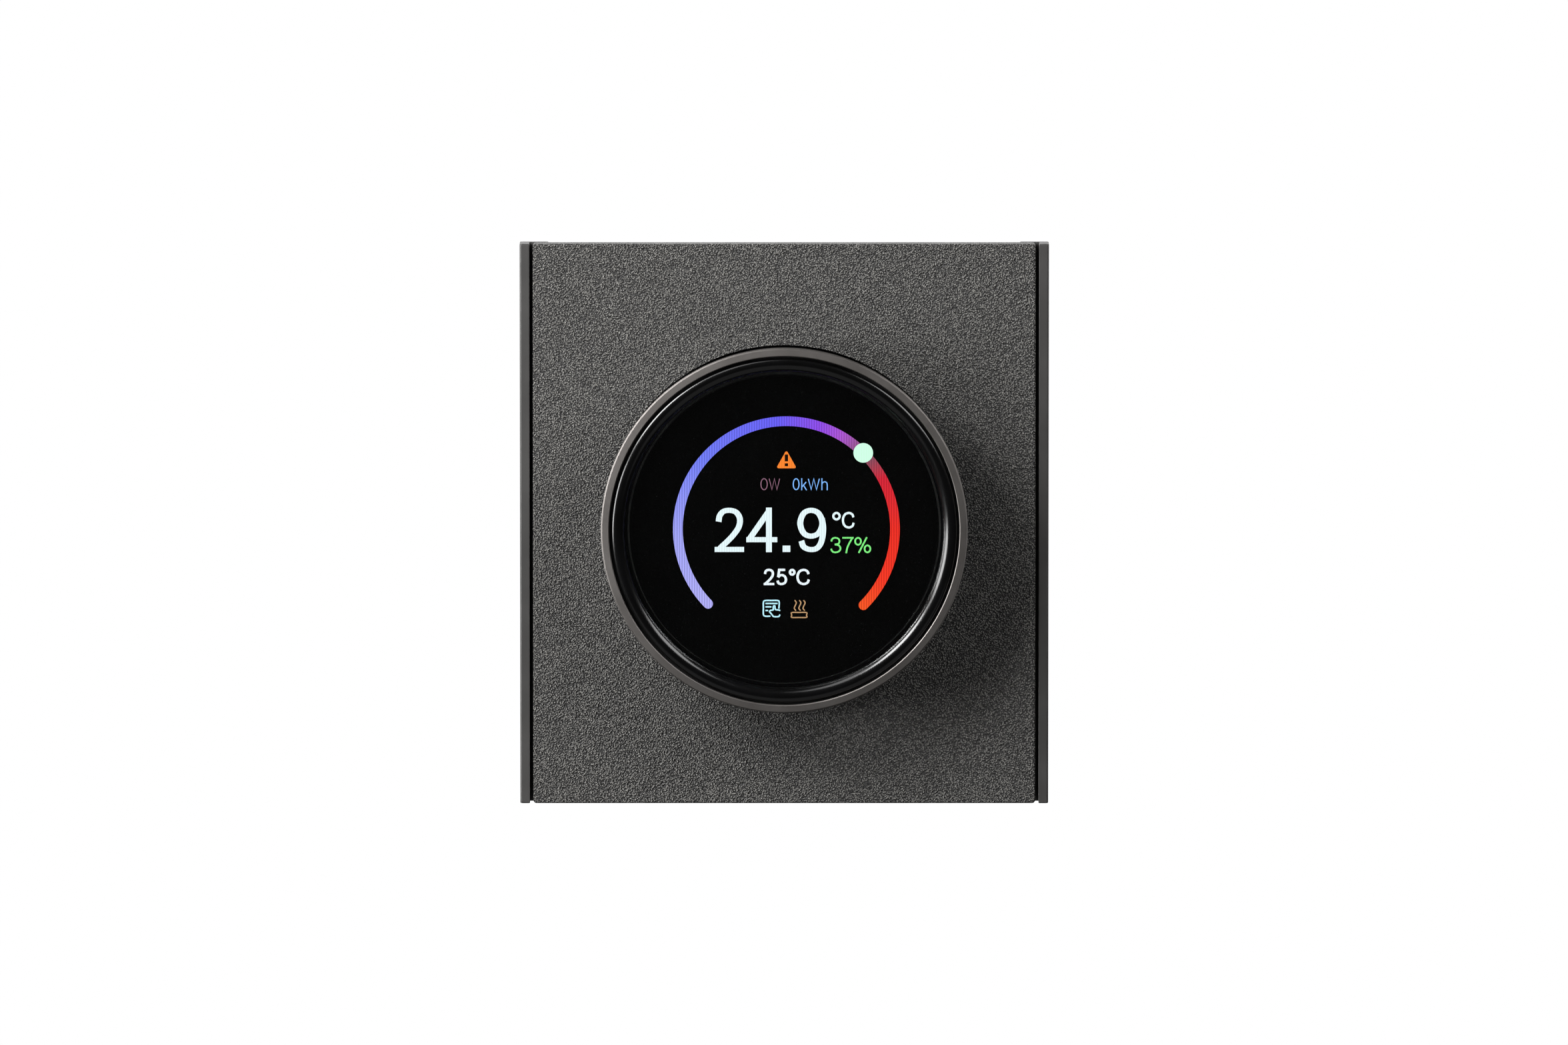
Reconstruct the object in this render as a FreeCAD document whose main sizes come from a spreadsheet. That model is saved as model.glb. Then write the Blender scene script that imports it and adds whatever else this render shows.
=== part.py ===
import FreeCAD, Part
import math
import os
import re
import Sketcher

# Wall thermostat: a front unit with a round display inside a knob that turns and presses,
# plugged onto a power unit that is screwed to a flush wall box.
# Lengths are millimetres. X is to the right, Z is up, and the front faces -Y.
# The origin is on the wall's surface, midway between the two wall screws.

doc = FreeCAD.newDocument("WallThermostat")
sheet = doc.addObject("Spreadsheet::Sheet", "Dims")

# Driving dimensions. A name that ends in Front or Rear is a distance in front of the wall.
dimensions = {
    # outline of the front unit
    "overallWidth": 80.8,
    "overallHeight": 86.0,
    "plateFront": 11.0,
    "plateFace": 2.2,
    "plateEdge": 3.0,
    "plateRim": 1.2,
    "plateHole": 27.45,
    "cornerRound": 0.5,
    "edgeRound": 0.3,
    "stripWidth": 1.5,
    "stripGap": 0.5,
    "stripDepth": 3.1,
    "footDepth": 1.2,
    "footReach": 4.4,
    # back cover of the front unit
    "coverHalfWidth": 37.4,
    "coverHalfHeight": 41.5,
    "coverWall": 1.5,
    "coverRim": 0.3,
    "coverFront": 6.7,
    "coverFloorRear": 3.4,
    "coverFloor": 1.2,
    "tongueHalfWidth": 35.0,
    "tongueFront": 8.5,
    "ventWidth": 1.2,
    "ventHeight": 2.4,
    "ventPitch": 2.4,
    "ventCount": 7,
    "postRadius": 2.0,
    "postReach": 4.9,
    "postPlace": 19.0,
    "bossRadius": 2.8,
    "bossX": 31.5,
    "bossZ": 34.5,
    "coverScrewRadius": 0.9,
    "coverScrewHead": 1.8,
    "coverScrewHeadDepth": 1.0,
    "screwGap": 0.1,
    # knob: depths are measured back from the front of its metal ring
    "knobHeight": 10.0,
    "ringOuter": 27.95,
    "ringInner": 26.7,
    "ringDepth": 1.4,
    "ringChamfer": 0.2,
    "ringCrown": 0.12,
    "ribInner": 27.2,
    "ribOuter": 27.5,
    "ribDepth": 0.4,
    "skirtOuter": 27.1,
    "skirtInner": 25.95,
    "skirtEnd": 11.4,
    "skirtFlange": 27.75,
    "skirtFlangeDepth": 1.0,
    "lipInner": 25.35,
    "lipStart": 9.2,
    "lipEnd": 9.7,
    "notchCount": 30,
    "notchRadius": 0.8,
    "notchDepth": 0.2,
    "notchStart": 7.2,
    "notchEnd": 9.0,
    "magnetInner": 24.5,
    "magnetStart": 10.6,
    "bearingOuter": 25.89,
    "wallInner": 24.4,
    "wallStart": 3.0,
    "stepStart": 9.0,
    "stepOuter": 25.2,
    "wallEnd": 10.5,
    "wallStep": 1.0,
    "clipInner": 24.85,
    "clipOuter": 25.75,
    "clipStart": 9.8,
    "clipEnd": 10.2,
    "floorStart": 6.0,
    "floorEnd": 7.2,
    "ballRadius": 0.8,
    "ballReach": 25.93,
    "ballPlace": 8.1,
    "ballHole": 0.85,
    "ballPocketInner": 20.8,
    "ballBlockInner": 19.8,
    "ballBlockHalf": 1.8,
    "ballBlockDepth": 2.2,
    "ballSpringCoil": 0.6,
    "ballSpringWire": 0.12,
    "ballSpringTurns": 6,
    "beadOuter": 26.33,
    "beadCrest": 25.5,
    "beadEdge": 0.45,
    "beadSkirt": 1.1,
    "windowRadius": 24.2,
    "windowDepth": 1.9,
    "glassSeat": 24.6,
    "glassRadius": 24.5,
    "glassThick": 1.0,
    "panelRadius": 23.6,
    "panelStart": 3.1,
    "panelThick": 1.5,
    "trayRadius": 23.9,
    "trayStart": 4.7,
    "trayThick": 1.2,
    # push guide
    "pushPlace": 18.0,
    "pushCount": 3,
    "pushPost": 1.55,
    "pushBore": 1.62,
    "pushTube": 3.2,
    "pushTubeFront": 12.8,
    "pusherRadius": 1.8,
    "springCoil": 4.1,
    "springWire": 0.3,
    "springTurns": 4,
    "pushScrewRadius": 0.8,
    "pushScrewLength": 4.0,
    "pushScrewHead": 2.6,
    "pushScrewHeadDepth": 0.8,
    "guideRadius": 33.5,
    "guideFront": 8.8,
    "guideThick": 1.2,
    "guideHole": 5.0,
    "guideScrewPlace": 30.6,
    "guideScrewRadius": 0.7,
    "guideScrewGrip": 1.4,
    "guideScrewHead": 1.5,
    "guideScrewHeadDepth": 0.4,
    "sensorHalf": 1.5,
    "sensorDepth": 1.0,
    "sensorPlace": 25.2,
    "sensorWindow": 1.9,
    "sensorAngle": 12.0,
    # control board and what stands on it
    "boardHalfWidth": 34.0,
    "boardHalfHeight": 38.0,
    "boardThick": 1.2,
    "boardRear": 6.0,
    "bossNotch": 3.2,
    "headHole": 3.0,
    "switchHalf": 2.3,
    "switchDepth": 1.2,
    "switchFloor": 0.15,
    "plungerGap": 0.05,
    "plungerRadius": 1.1,
    "plungerRise": 0.5,
    "plungerFoot": 0.5,
    "flexHalf": 5.0,
    "flexThick": 0.2,
    "flexPlace": 20.0,
    "flexEnd": 16.5,
    "flexBend": 10.6,
    "flexSlot": 1.0,
    "connectorHalf": 6.0,
    "connectorHeight": 3.0,
    "connectorDepth": 1.2,
    "flexWindowHalf": 6.6,
    "radioHalfWidth": 8.0,
    "radioHalfHeight": 6.0,
    "radioX": -20.0,
    "radioZ": 28.0,
    "chipHalf": 3.5,
    "chipDepth": 0.9,
    "chipX": 20.0,
    "chipZ": 26.0,
    "roomSensorHalf": 1.25,
    "roomSensorZ": -36.0,
    # plug between the two units
    "pinCount": 6,
    "pinPitch": 2.54,
    "pinHalf": 0.32,
    "pinHoleHalf": 0.42,
    "pinReach": 2.0,
    "plugZ": 12.0,
    "plugHalfWidth": 8.0,
    "plugHalfHeight": 1.3,
    "plugBlock": 2.5,
    "plugWindowGap": 0.5,
    # power unit
    "yokeHalf": 35.0,
    "yokeThick": 1.0,
    "yokeOpening": 25.3,
    "yokeCorner": 4.0,
    "slotSpacing": 60.0,
    "slotRadius": 2.1,
    "slotLength": 7.0,
    "boxHalf": 25.0,
    "boxWall": 1.6,
    "boxDepth": 26.0,
    "boxCorner": 2.0,
    "flangeHalfWidth": 25.8,
    "flangeHalfHeight": 31.0,
    "flangeThick": 1.2,
    "lidThick": 1.5,
    "lidGap": 0.1,
    "lidHole": 2.08,
    "lidBoss": 2.6,
    "lidBossX": 20.7,
    "lidBossZ": 8.5,
    "lidScrewRadius": 1.0,
    "lidScrewLength": 5.0,
    "lidBossFloor": 1.5,
    "lidScrewHead": 1.9,
    "lidScrewHeadDepth": 0.6,
    "rivetX": 18.0,
    "rivetZ": 28.2,
    "rivetRadius": 1.4,
    "rivetHead": 2.3,
    "rivetHeadDepth": 0.7,
    "socketDepth": 8.5,
    "socketFloor": 1.0,
    "powerBoardHalf": 23.0,
    "powerBoardThick": 1.6,
    "cornerCut": 4.0,
    # parts on the power board, each by half its width and height, its depth and its place
    "relayHalfWidth": 9.5,
    "relayHalfHeight": 7.7,
    "relayDepth": 15.6,
    "relayX": -12.0,
    "relayZ": 13.5,
    "relayRound": 0.6,
    "transformerHalfWidth": 7.5,
    "transformerHalfHeight": 6.5,
    "transformerDepth": 12.5,
    "transformerX": 11.0,
    "transformerZ": 14.5,
    "transformerRound": 0.8,
    "varistorHalfWidth": 2.0,
    "varistorHalfHeight": 4.8,
    "varistorDepth": 10.5,
    "varistorX": -4.0,
    "varistorZ": -0.5,
    "varistorRound": 1.5,
    "shuntHalfWidth": 4.5,
    "shuntHalfHeight": 0.6,
    "shuntDepth": 3.2,
    "shuntX": -15.0,
    "shuntZ": -1.5,
    "capacitorRadius": 4.0,
    "capacitorDepth": 12.0,
    "capacitorX": 6.0,
    "capacitorZ": -1.0,
    "capacitorRound": 0.6,
    "fuseRadius": 2.4,
    "fuseDepth": 8.0,
    "fuseX": 17.0,
    "fuseZ": -2.0,
    "meterHalfWidth": 5.0,
    "meterHalfHeight": 2.0,
    "meterDepth": 1.5,
    "meterPlace": -8.0,
    # terminals
    "terminalCount": 6,
    "terminalPitch": 7.0,
    "blockHeight": 11.6,
    "blockBottom": 23.2,
    "blockDepth": 16.4,
    "cageHalfWidth": 2.6,
    "cageHeight": 6.0,
    "cageDepth": 7.0,
    "cagePocketHalf": 2.7,
    "cageFloor": 1.6,
    "cageMouth": 2.0,
    "cageGap": 0.1,
    "wireHalf": 1.9,
    "wireInset": 4.6,
    "terminalScrewRadius": 1.25,
    "terminalScrewHead": 2.1,
    "terminalScrewHeadDepth": 1.4,
    "driverHole": 2.4,
}

row = 1
for name, value in dimensions.items():
    sheet.set("A%d" % row, name)
    sheet.set("B%d" % row, str(value))
    sheet.setAlias("B%d" % row, name)
    row += 1
doc.recompute()

pieces = []


def cells(text):
    # Writes an expression in the sheet's names as FreeCAD reads it.
    def place(match):
        word = match.group(0)
        return "Dims." + word if word in dimensions else word
    return re.sub(r"[A-Za-z]\w*", place, text)


def number(text):
    # Present value of an expression in the sheet's names.
    return float(sheet.evalExpression(cells(text)))


def new_body(label, ahead="0"):
    # Body whose own origin is on the knob's axis, a distance in front of the wall.
    body = doc.addObject("PartDesign::Body", label)
    body.Label = label
    body.setExpression("Placement.Base.y", cells("-(%s)" % ahead))
    pieces.append(body)
    return body


def origin_feature(body, role):
    for feature in body.Origin.OriginFeatures:
        if feature.Role == role:
            return feature
    raise RuntimeError("no origin feature " + role)


def new_sketch(body, plane, ahead="0"):
    # On XZ_Plane, ahead is a distance towards the front; on XY_Plane it is upwards.
    sketch = body.newObject("Sketcher::SketchObject", body.Label + "_sketch")
    sketch.AttachmentSupport = [(origin_feature(body, plane), "")]
    sketch.MapMode = "FlatFace"
    sketch.setExpression("AttachmentOffset.Base.z", cells(ahead))
    return sketch


def fix(sketch, kind, geometry, vertex, text):
    # Ties one coordinate of a vertex to an expression.
    constraint = Sketcher.Constraint(kind, -1, 1, geometry, vertex, number(text))
    index = sketch.addConstraint(constraint)
    sketch.setExpression("Constraints[%d]" % index, cells(text))


def polygon(sketch, points):
    # Closed outline through points, each a pair of expressions.
    corners = [FreeCAD.Vector(number(across), number(up), 0) for across, up in points]
    count = len(points)
    first = sketch.GeometryCount
    for index in range(count):
        end = corners[(index + 1) % count]
        sketch.addGeometry(Part.LineSegment(corners[index], end), False)
    for index in range(count):
        following = first + (index + 1) % count
        sketch.addConstraint(Sketcher.Constraint("Coincident", first + index, 2, following, 1))
    for index, (across, up) in enumerate(points):
        fix(sketch, "DistanceX", first + index, 1, across)
        fix(sketch, "DistanceY", first + index, 1, up)


def rectangle(sketch, left, right, low, high):
    polygon(sketch, [(left, low), (right, low), (right, high), (left, high)])


def centred(sketch, half_width, half_height, across="0", up="0"):
    # Rectangle about a centre.
    low = "%s - (%s)" % (up, half_height)
    high = "%s + (%s)" % (up, half_height)
    rectangle(sketch, "%s - (%s)" % (across, half_width), "%s + (%s)" % (across, half_width), low, high)


def circle(sketch, radius, across="0", up="0"):
    middle = FreeCAD.Vector(number(across), number(up), 0)
    index = sketch.addGeometry(Part.Circle(middle, FreeCAD.Vector(0, 0, 1), number(radius)), False)
    fix(sketch, "DistanceX", index, 3, across)
    fix(sketch, "DistanceY", index, 3, up)
    size = sketch.addConstraint(Sketcher.Constraint("Radius", index, number(radius)))
    sketch.setExpression("Constraints[%d]" % size, cells(radius))


def pad(body, sketch, length, back=False):
    # Adds material from the sketch towards the front, or towards the wall.
    feature = body.newObject("PartDesign::Pad", body.Label + "_pad")
    feature.Profile = sketch
    feature.setExpression("Length", cells(length))
    feature.Reversed = back
    doc.recompute()
    return feature


def pocket(body, sketch, length, ahead=False):
    # Removes material from the sketch towards the wall, or towards the front.
    before = body.Shape.Volume
    feature = body.newObject("PartDesign::Pocket", body.Label + "_pocket")
    feature.Profile = sketch
    feature.setExpression("Length", cells(length))
    feature.Reversed = ahead
    doc.recompute()
    if body.Shape.Volume >= before:
        raise RuntimeError(feature.Name + " removes nothing")
    return feature


def revolve(body, points, cut=False):
    # Turns an outline of (radius, depth) pairs once round the knob's axis.
    sketch = new_sketch(body, "XY_Plane")
    polygon(sketch, points)
    before = body.Shape.Volume if cut else 0
    kind = "Groove" if cut else "Revolution"
    feature = body.newObject("PartDesign::" + kind, body.Label + "_turn")
    feature.Profile = sketch
    feature.ReferenceAxis = (sketch, ["V_Axis"])
    feature.Angle = 360
    doc.recompute()
    if cut and body.Shape.Volume >= before:
        raise RuntimeError(feature.Name + " removes nothing")
    return feature


def polar(body, feature, count):
    # Repeats a feature round the knob's axis.
    pattern = body.newObject("PartDesign::PolarPattern", body.Label + "_round")
    pattern.Originals = [feature]
    pattern.Axis = (origin_feature(body, "Y_Axis"), [""])
    pattern.Angle = 360
    pattern.setExpression("Occurrences", cells(count))
    body.Tip = pattern
    doc.recompute()
    return pattern


def soften(body, choose, size, kind="Fillet"):
    # Rounds or chamfers the edges that choose accepts.
    base = body.Tip
    names = ["Edge%d" % (i + 1) for i, edge in enumerate(base.Shape.Edges) if choose(edge)]
    if not names:
        raise RuntimeError(body.Label + " has no such edge")
    feature = body.newObject("PartDesign::" + kind, body.Label + "_edge")
    feature.Base = (base, names)
    feature.setExpression("Radius" if kind == "Fillet" else "Size", cells(size))
    doc.recompute()
    return feature


def along_y(edge):
    # A straight edge that runs from front to back.
    if len(edge.Vertexes) != 2:
        return False
    step = edge.Vertexes[1].Point - edge.Vertexes[0].Point
    return abs(step.x) < 1e-6 and abs(step.z) < 1e-6


def in_plane(edge, y):
    return all(abs(vertex.Point.y - y) < 1e-6 for vertex in edge.Vertexes)


def outer_corner(half_width, half_height):
    # Chooses the four upright edges of a centred rectangular outline.
    wide = number(half_width)
    high = number(half_height)

    def choose(edge):
        point = edge.Vertexes[0].Point
        return along_y(edge) and abs(abs(point.x) - wide) < 1e-6 and abs(abs(point.z) - high) < 1e-6
    return choose


def four(x, z):
    # The four mirrored places of a point.
    return [(a + "(" + x + ")", b + "(" + z + ")") for a in ("", "-") for b in ("", "-")]


def push_places():
    # Places of the push posts, one of them at the top, evenly round the axis.
    count = int(number("pushCount"))
    places = []
    for index in range(count):
        angle = 90 + 360.0 * index / count
        places.append(("pushPlace * cos(%g deg)" % angle, "pushPlace * sin(%g deg)" % angle))
    return places


def row_places(count, pitch):
    # Places along X of evenly spaced members, centred.
    total = int(number(count))
    return ["(%g) * %s" % (index - (total - 1) / 2, pitch) for index in range(total)]


knob_front = "plateFront + knobHeight"


# ---- front unit ----

def front_plate():
    body = new_body("front_plate", "plateFront - plateFace")
    half_width = "overallWidth / 2 - stripWidth - stripGap"
    half_height = "overallHeight / 2"
    face = new_sketch(body, "XZ_Plane")
    centred(face, half_width, half_height)
    circle(face, "plateHole")
    pad(body, face, "plateFace")
    rim = new_sketch(body, "XZ_Plane")
    centred(rim, half_width, half_height)
    centred(rim, half_width + " - plateRim", half_height + " - plateRim")
    pad(body, rim, "plateEdge - plateFace", back=True)
    bosses = new_sketch(body, "XZ_Plane")
    for x, z in four("bossX", "bossZ"):
        circle(bosses, "bossRadius", x, z)
    pad(body, bosses, "plateFront - plateFace - coverFront + coverWall", back=True)
    pilots = new_sketch(body, "XZ_Plane", "-(plateFront - plateFace - coverFront + coverWall)")
    for x, z in four("bossX", "bossZ"):
        circle(pilots, "coverScrewRadius", x, z)
    pocket(body, pilots, "plateFront - plateFace - coverFront + coverWall", ahead=True)
    guide_pilots = new_sketch(body, "XZ_Plane")
    corner = "guideScrewPlace * cos(45 deg)"
    for x, z in four(corner, corner):
        circle(guide_pilots, "guideScrewRadius", x, z)
    pocket(body, guide_pilots, "guideScrewGrip", ahead=True)
    soften(body, outer_corner(half_width, half_height), "cornerRound")
    soften(body, lambda edge: in_plane(edge, -number("plateFace")) and len(edge.Vertexes) == 2, "edgeRound")
    soften(body, lambda edge: in_plane(edge, -number("plateFace")) and len(edge.Vertexes) == 1,
           "edgeRound / 2", "Chamfer")


def side_strip(label, side):
    # A bar flush with the plate, on a foot that the back cover clamps behind the plate's rim.
    body = new_body(label, "plateFront")
    outer = side + " * overallWidth / 2"
    inner = side + " * (overallWidth / 2 - stripWidth)"
    reach = side + " * (overallWidth / 2 - footReach)"
    section = new_sketch(body, "XY_Plane", "-overallHeight / 2")
    polygon(section, [(inner, "0"), (outer, "0"), (outer, "stripDepth + footDepth"),
                      (reach, "stripDepth + footDepth"), (reach, "stripDepth"), (inner, "stripDepth")])
    pad(body, section, "overallHeight")
    edge_x = number(outer)

    def front_outer(edge):
        return in_plane(edge, 0) and all(abs(v.Point.x - edge_x) < 1e-6 for v in edge.Vertexes)

    def front_ends(edge):
        return in_plane(edge, 0) and abs(edge.Vertexes[0].Point.z - edge.Vertexes[1].Point.z) < 1e-6
    soften(body, lambda edge: front_outer(edge) or front_ends(edge), "edgeRound")


def back_cover():
    body = new_body("back_cover", "coverFloorRear")
    floor = new_sketch(body, "XZ_Plane")
    centred(floor, "coverHalfWidth", "coverHalfHeight")
    pad(body, floor, "coverFloor")
    walls = new_sketch(body, "XZ_Plane", "coverRim - coverFloorRear")
    centred(walls, "coverHalfWidth", "coverHalfHeight")
    centred(walls, "coverHalfWidth - coverWall", "coverHalfHeight - coverWall")
    pad(body, walls, "coverFront - coverRim")
    tongues = new_sketch(body, "XZ_Plane", "coverFront - coverFloorRear")
    inside = "coverHalfHeight - coverWall"
    rectangle(tongues, "-tongueHalfWidth", "tongueHalfWidth", inside, "coverHalfHeight")
    rectangle(tongues, "-tongueHalfWidth", "tongueHalfWidth", "-coverHalfHeight", "-(%s)" % inside)
    pad(body, tongues, "tongueFront - coverFront")
    columns = new_sketch(body, "XZ_Plane", "coverFloor")
    for x, z in four("bossX", "bossZ"):
        circle(columns, "bossRadius", x, z)
    pad(body, columns, "coverFront - coverWall - coverFloorRear - coverFloor")
    posts = new_sketch(body, "XZ_Plane")
    for x, z in four("postPlace", "postPlace"):
        circle(posts, "postRadius", x, z)
    pad(body, posts, "postReach", back=True)
    window = new_sketch(body, "XZ_Plane", "coverFloor")
    centred(window, "plugHalfWidth + plugWindowGap", "plugHalfHeight + plugWindowGap", up="plugZ")
    pocket(body, window, "coverFloor")
    screws = new_sketch(body, "XZ_Plane", "coverFront - coverWall - coverFloorRear")
    for x, z in four("bossX", "bossZ"):
        circle(screws, "coverScrewRadius + screwGap", x, z)
    pocket(body, screws, "coverFront - coverWall - coverFloorRear")
    heads = new_sketch(body, "XZ_Plane")
    for x, z in four("bossX", "bossZ"):
        circle(heads, "coverScrewHead + screwGap", x, z)
    pocket(body, heads, "coverScrewHeadDepth", ahead=True)
    vents = new_sketch(body, "XY_Plane", "-coverHalfHeight")
    for x in row_places("ventCount", "ventPitch"):
        centred(vents, "ventWidth / 2", "ventHeight / 2", x, "-(coverFloor + ventHeight / 2)")
    pocket(body, vents, "coverWall", ahead=True)
    soften(body, outer_corner("coverHalfWidth", "coverHalfHeight"), "cornerRound")


def screws(label, ahead, places, shank, grip, head, head_depth):
    # Screws whose heads stand behind the plane at ahead and whose shanks point to the front.
    body = new_body(label, ahead)
    shanks = new_sketch(body, "XZ_Plane")
    for x, z in places:
        circle(shanks, shank, x, z)
    pad(body, shanks, grip)
    heads = new_sketch(body, "XZ_Plane")
    for x, z in places:
        circle(heads, head, x, z)
    pad(body, heads, head_depth, back=True)


def cover_screws():
    screws("cover_screws", "coverFloorRear + coverScrewHeadDepth", four("bossX", "bossZ"), "coverScrewRadius",
           "plateFront - plateFace - coverFloorRear - coverScrewHeadDepth - edgeRound", "coverScrewHead",
           "coverScrewHeadDepth")


def guide_screws():
    corner = "guideScrewPlace * cos(45 deg)"
    screws("guide_screws", "guideFront - guideThick", four(corner, corner), "guideScrewRadius",
           "guideThick + guideScrewGrip", "guideScrewHead", "guideScrewHeadDepth")


def push_guide():
    # Plate behind the front plate with three bored tubes that the knob's posts slide in.
    body = new_body("push_guide", "guideFront - guideThick")
    disc = new_sketch(body, "XZ_Plane")
    circle(disc, "guideRadius")
    circle(disc, "guideHole")
    pad(body, disc, "guideThick")
    tubes = new_sketch(body, "XZ_Plane")
    for x, z in push_places():
        circle(tubes, "pushTube", x, z)
    pad(body, tubes, "pushTubeFront - guideFront + guideThick")
    bores = new_sketch(body, "XZ_Plane")
    for x, z in push_places():
        circle(bores, "pushBore", x, z)
    pocket(body, bores, "pushTubeFront - guideFront + guideThick", ahead=True)
    windows = new_sketch(body, "XZ_Plane")
    centred(windows, "flexWindowHalf", "connectorHeight / 2 + flexSlot", up="-flexEnd")
    for side in (-1, 1):
        x, z = sensor_place(side)
        centred(windows, "sensorWindow", "sensorWindow", x, z)
    pocket(body, windows, "guideThick", ahead=True)
    holes = new_sketch(body, "XZ_Plane")
    corner = "guideScrewPlace * cos(45 deg)"
    for x, z in four(corner, corner):
        circle(holes, "guideScrewRadius", x, z)
    pocket(body, holes, "guideThick", ahead=True)


def sensor_place(side):
    # The two sensors stand on the left under the ring magnet, one each side of level.
    angle = 180 + side * number("sensorAngle")
    return ("sensorPlace * cos(%g deg)" % angle, "sensorPlace * sin(%g deg)" % angle)


def control_board():
    body = new_body("control_board", "boardRear")
    outline = new_sketch(body, "XZ_Plane")
    centred(outline, "boardHalfWidth", "boardHalfHeight")
    for x, z in push_places():
        circle(outline, "headHole", x, z)
    pad(body, outline, "boardThick")
    notches = new_sketch(body, "XZ_Plane")
    for x, z in four("bossX", "bossZ"):
        circle(notches, "bossNotch", x, z)
    pocket(body, notches, "boardThick", ahead=True)


def on_board(label, half_width, half_height, depth, x, z, front=True):
    # A component that stands on the control board's front or rear face.
    body = new_body(label, "boardRear + boardThick" if front else "boardRear")
    outline = new_sketch(body, "XZ_Plane")
    centred(outline, half_width, half_height, x, z)
    pad(body, outline, depth, back=not front)
    return body


def control_parts():
    on_board("radio_module", "radioHalfWidth", "radioHalfHeight", "coverFloor", "radioX", "radioZ",
             front=False)
    on_board("main_chip", "chipHalf", "chipHalf", "chipDepth", "chipX", "chipZ", front=False)
    on_board("room_sensor", "roomSensorHalf", "roomSensorHalf", "chipDepth", "0", "roomSensorZ",
             front=False)
    on_board("flex_connector", "connectorHalf", "connectorHeight / 2", "connectorDepth", "0", "-flexEnd")
    switch = on_board("push_switch", "switchHalf", "switchHalf", "switchDepth", "0", "0")
    well = new_sketch(switch, "XZ_Plane", "switchDepth")
    circle(well, "plungerRadius + plungerGap")
    pocket(switch, well, "switchDepth - switchFloor")
    sensors = new_body("hall_sensors", "boardRear + boardThick")
    outline = new_sketch(sensors, "XZ_Plane")
    for side in (-1, 1):
        x, z = sensor_place(side)
        centred(outline, "sensorHalf / 2", "sensorHalf / 2", x, z)
    pad(sensors, outline, "sensorDepth")


def plug_pins():
    body = new_body("plug_pins", "boardRear")
    block = new_sketch(body, "XZ_Plane")
    centred(block, "plugHalfWidth", "plugHalfHeight", up="plugZ")
    pad(body, block, "plugBlock", back=True)
    pins = new_sketch(body, "XZ_Plane")
    for x in row_places("pinCount", "pinPitch"):
        centred(pins, "pinHalf", "pinHalf", x, "plugZ")
    pad(body, pins, "boardRear + pinReach", back=True)


# ---- knob ----

def knob_ring():
    body = new_body("knob_ring", knob_front)
    revolve(body, [
        ("ringInner", "ringChamfer"), ("ringInner + ringChamfer", "0"),
        ("ringOuter - ringChamfer", "ringCrown"), ("ringOuter", "ringCrown + ringChamfer"),
        ("ringOuter", "ringDepth"), ("ribOuter", "ringDepth"),
        ("ribOuter", "ringDepth + ribDepth"), ("ribInner", "ringDepth + ribDepth"),
        ("ribInner", "ringDepth"), ("ringInner", "ringDepth")])


def knob_skirt():
    body = new_body("knob_skirt", knob_front)
    revolve(body, [
        ("skirtInner", "ringDepth"), ("ribInner", "ringDepth"),
        ("ribInner", "ringDepth + ribDepth"), ("ribOuter", "ringDepth + ribDepth"),
        ("ribOuter", "ringDepth"), ("skirtFlange", "ringDepth"),
        ("skirtFlange", "ringDepth + skirtFlangeDepth"), ("skirtOuter", "ringDepth + skirtFlangeDepth"),
        ("skirtOuter", "skirtEnd"), ("skirtInner", "skirtEnd"),
        ("skirtInner", "lipEnd"), ("lipInner", "lipEnd"),
        ("lipInner", "lipStart"), ("skirtInner", "lipStart")])
    notch = new_sketch(body, "XZ_Plane", "-notchStart")
    circle(notch, "notchRadius", "skirtInner + notchDepth - notchRadius")
    first = pocket(body, notch, "notchEnd - notchStart")
    polar(body, first, "notchCount")


def magnet_ring():
    body = new_body("magnet_ring", knob_front)
    revolve(body, [("magnetInner", "magnetStart"), ("skirtInner", "magnetStart"),
                   ("skirtInner", "skirtEnd"), ("magnetInner", "skirtEnd")])


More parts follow.
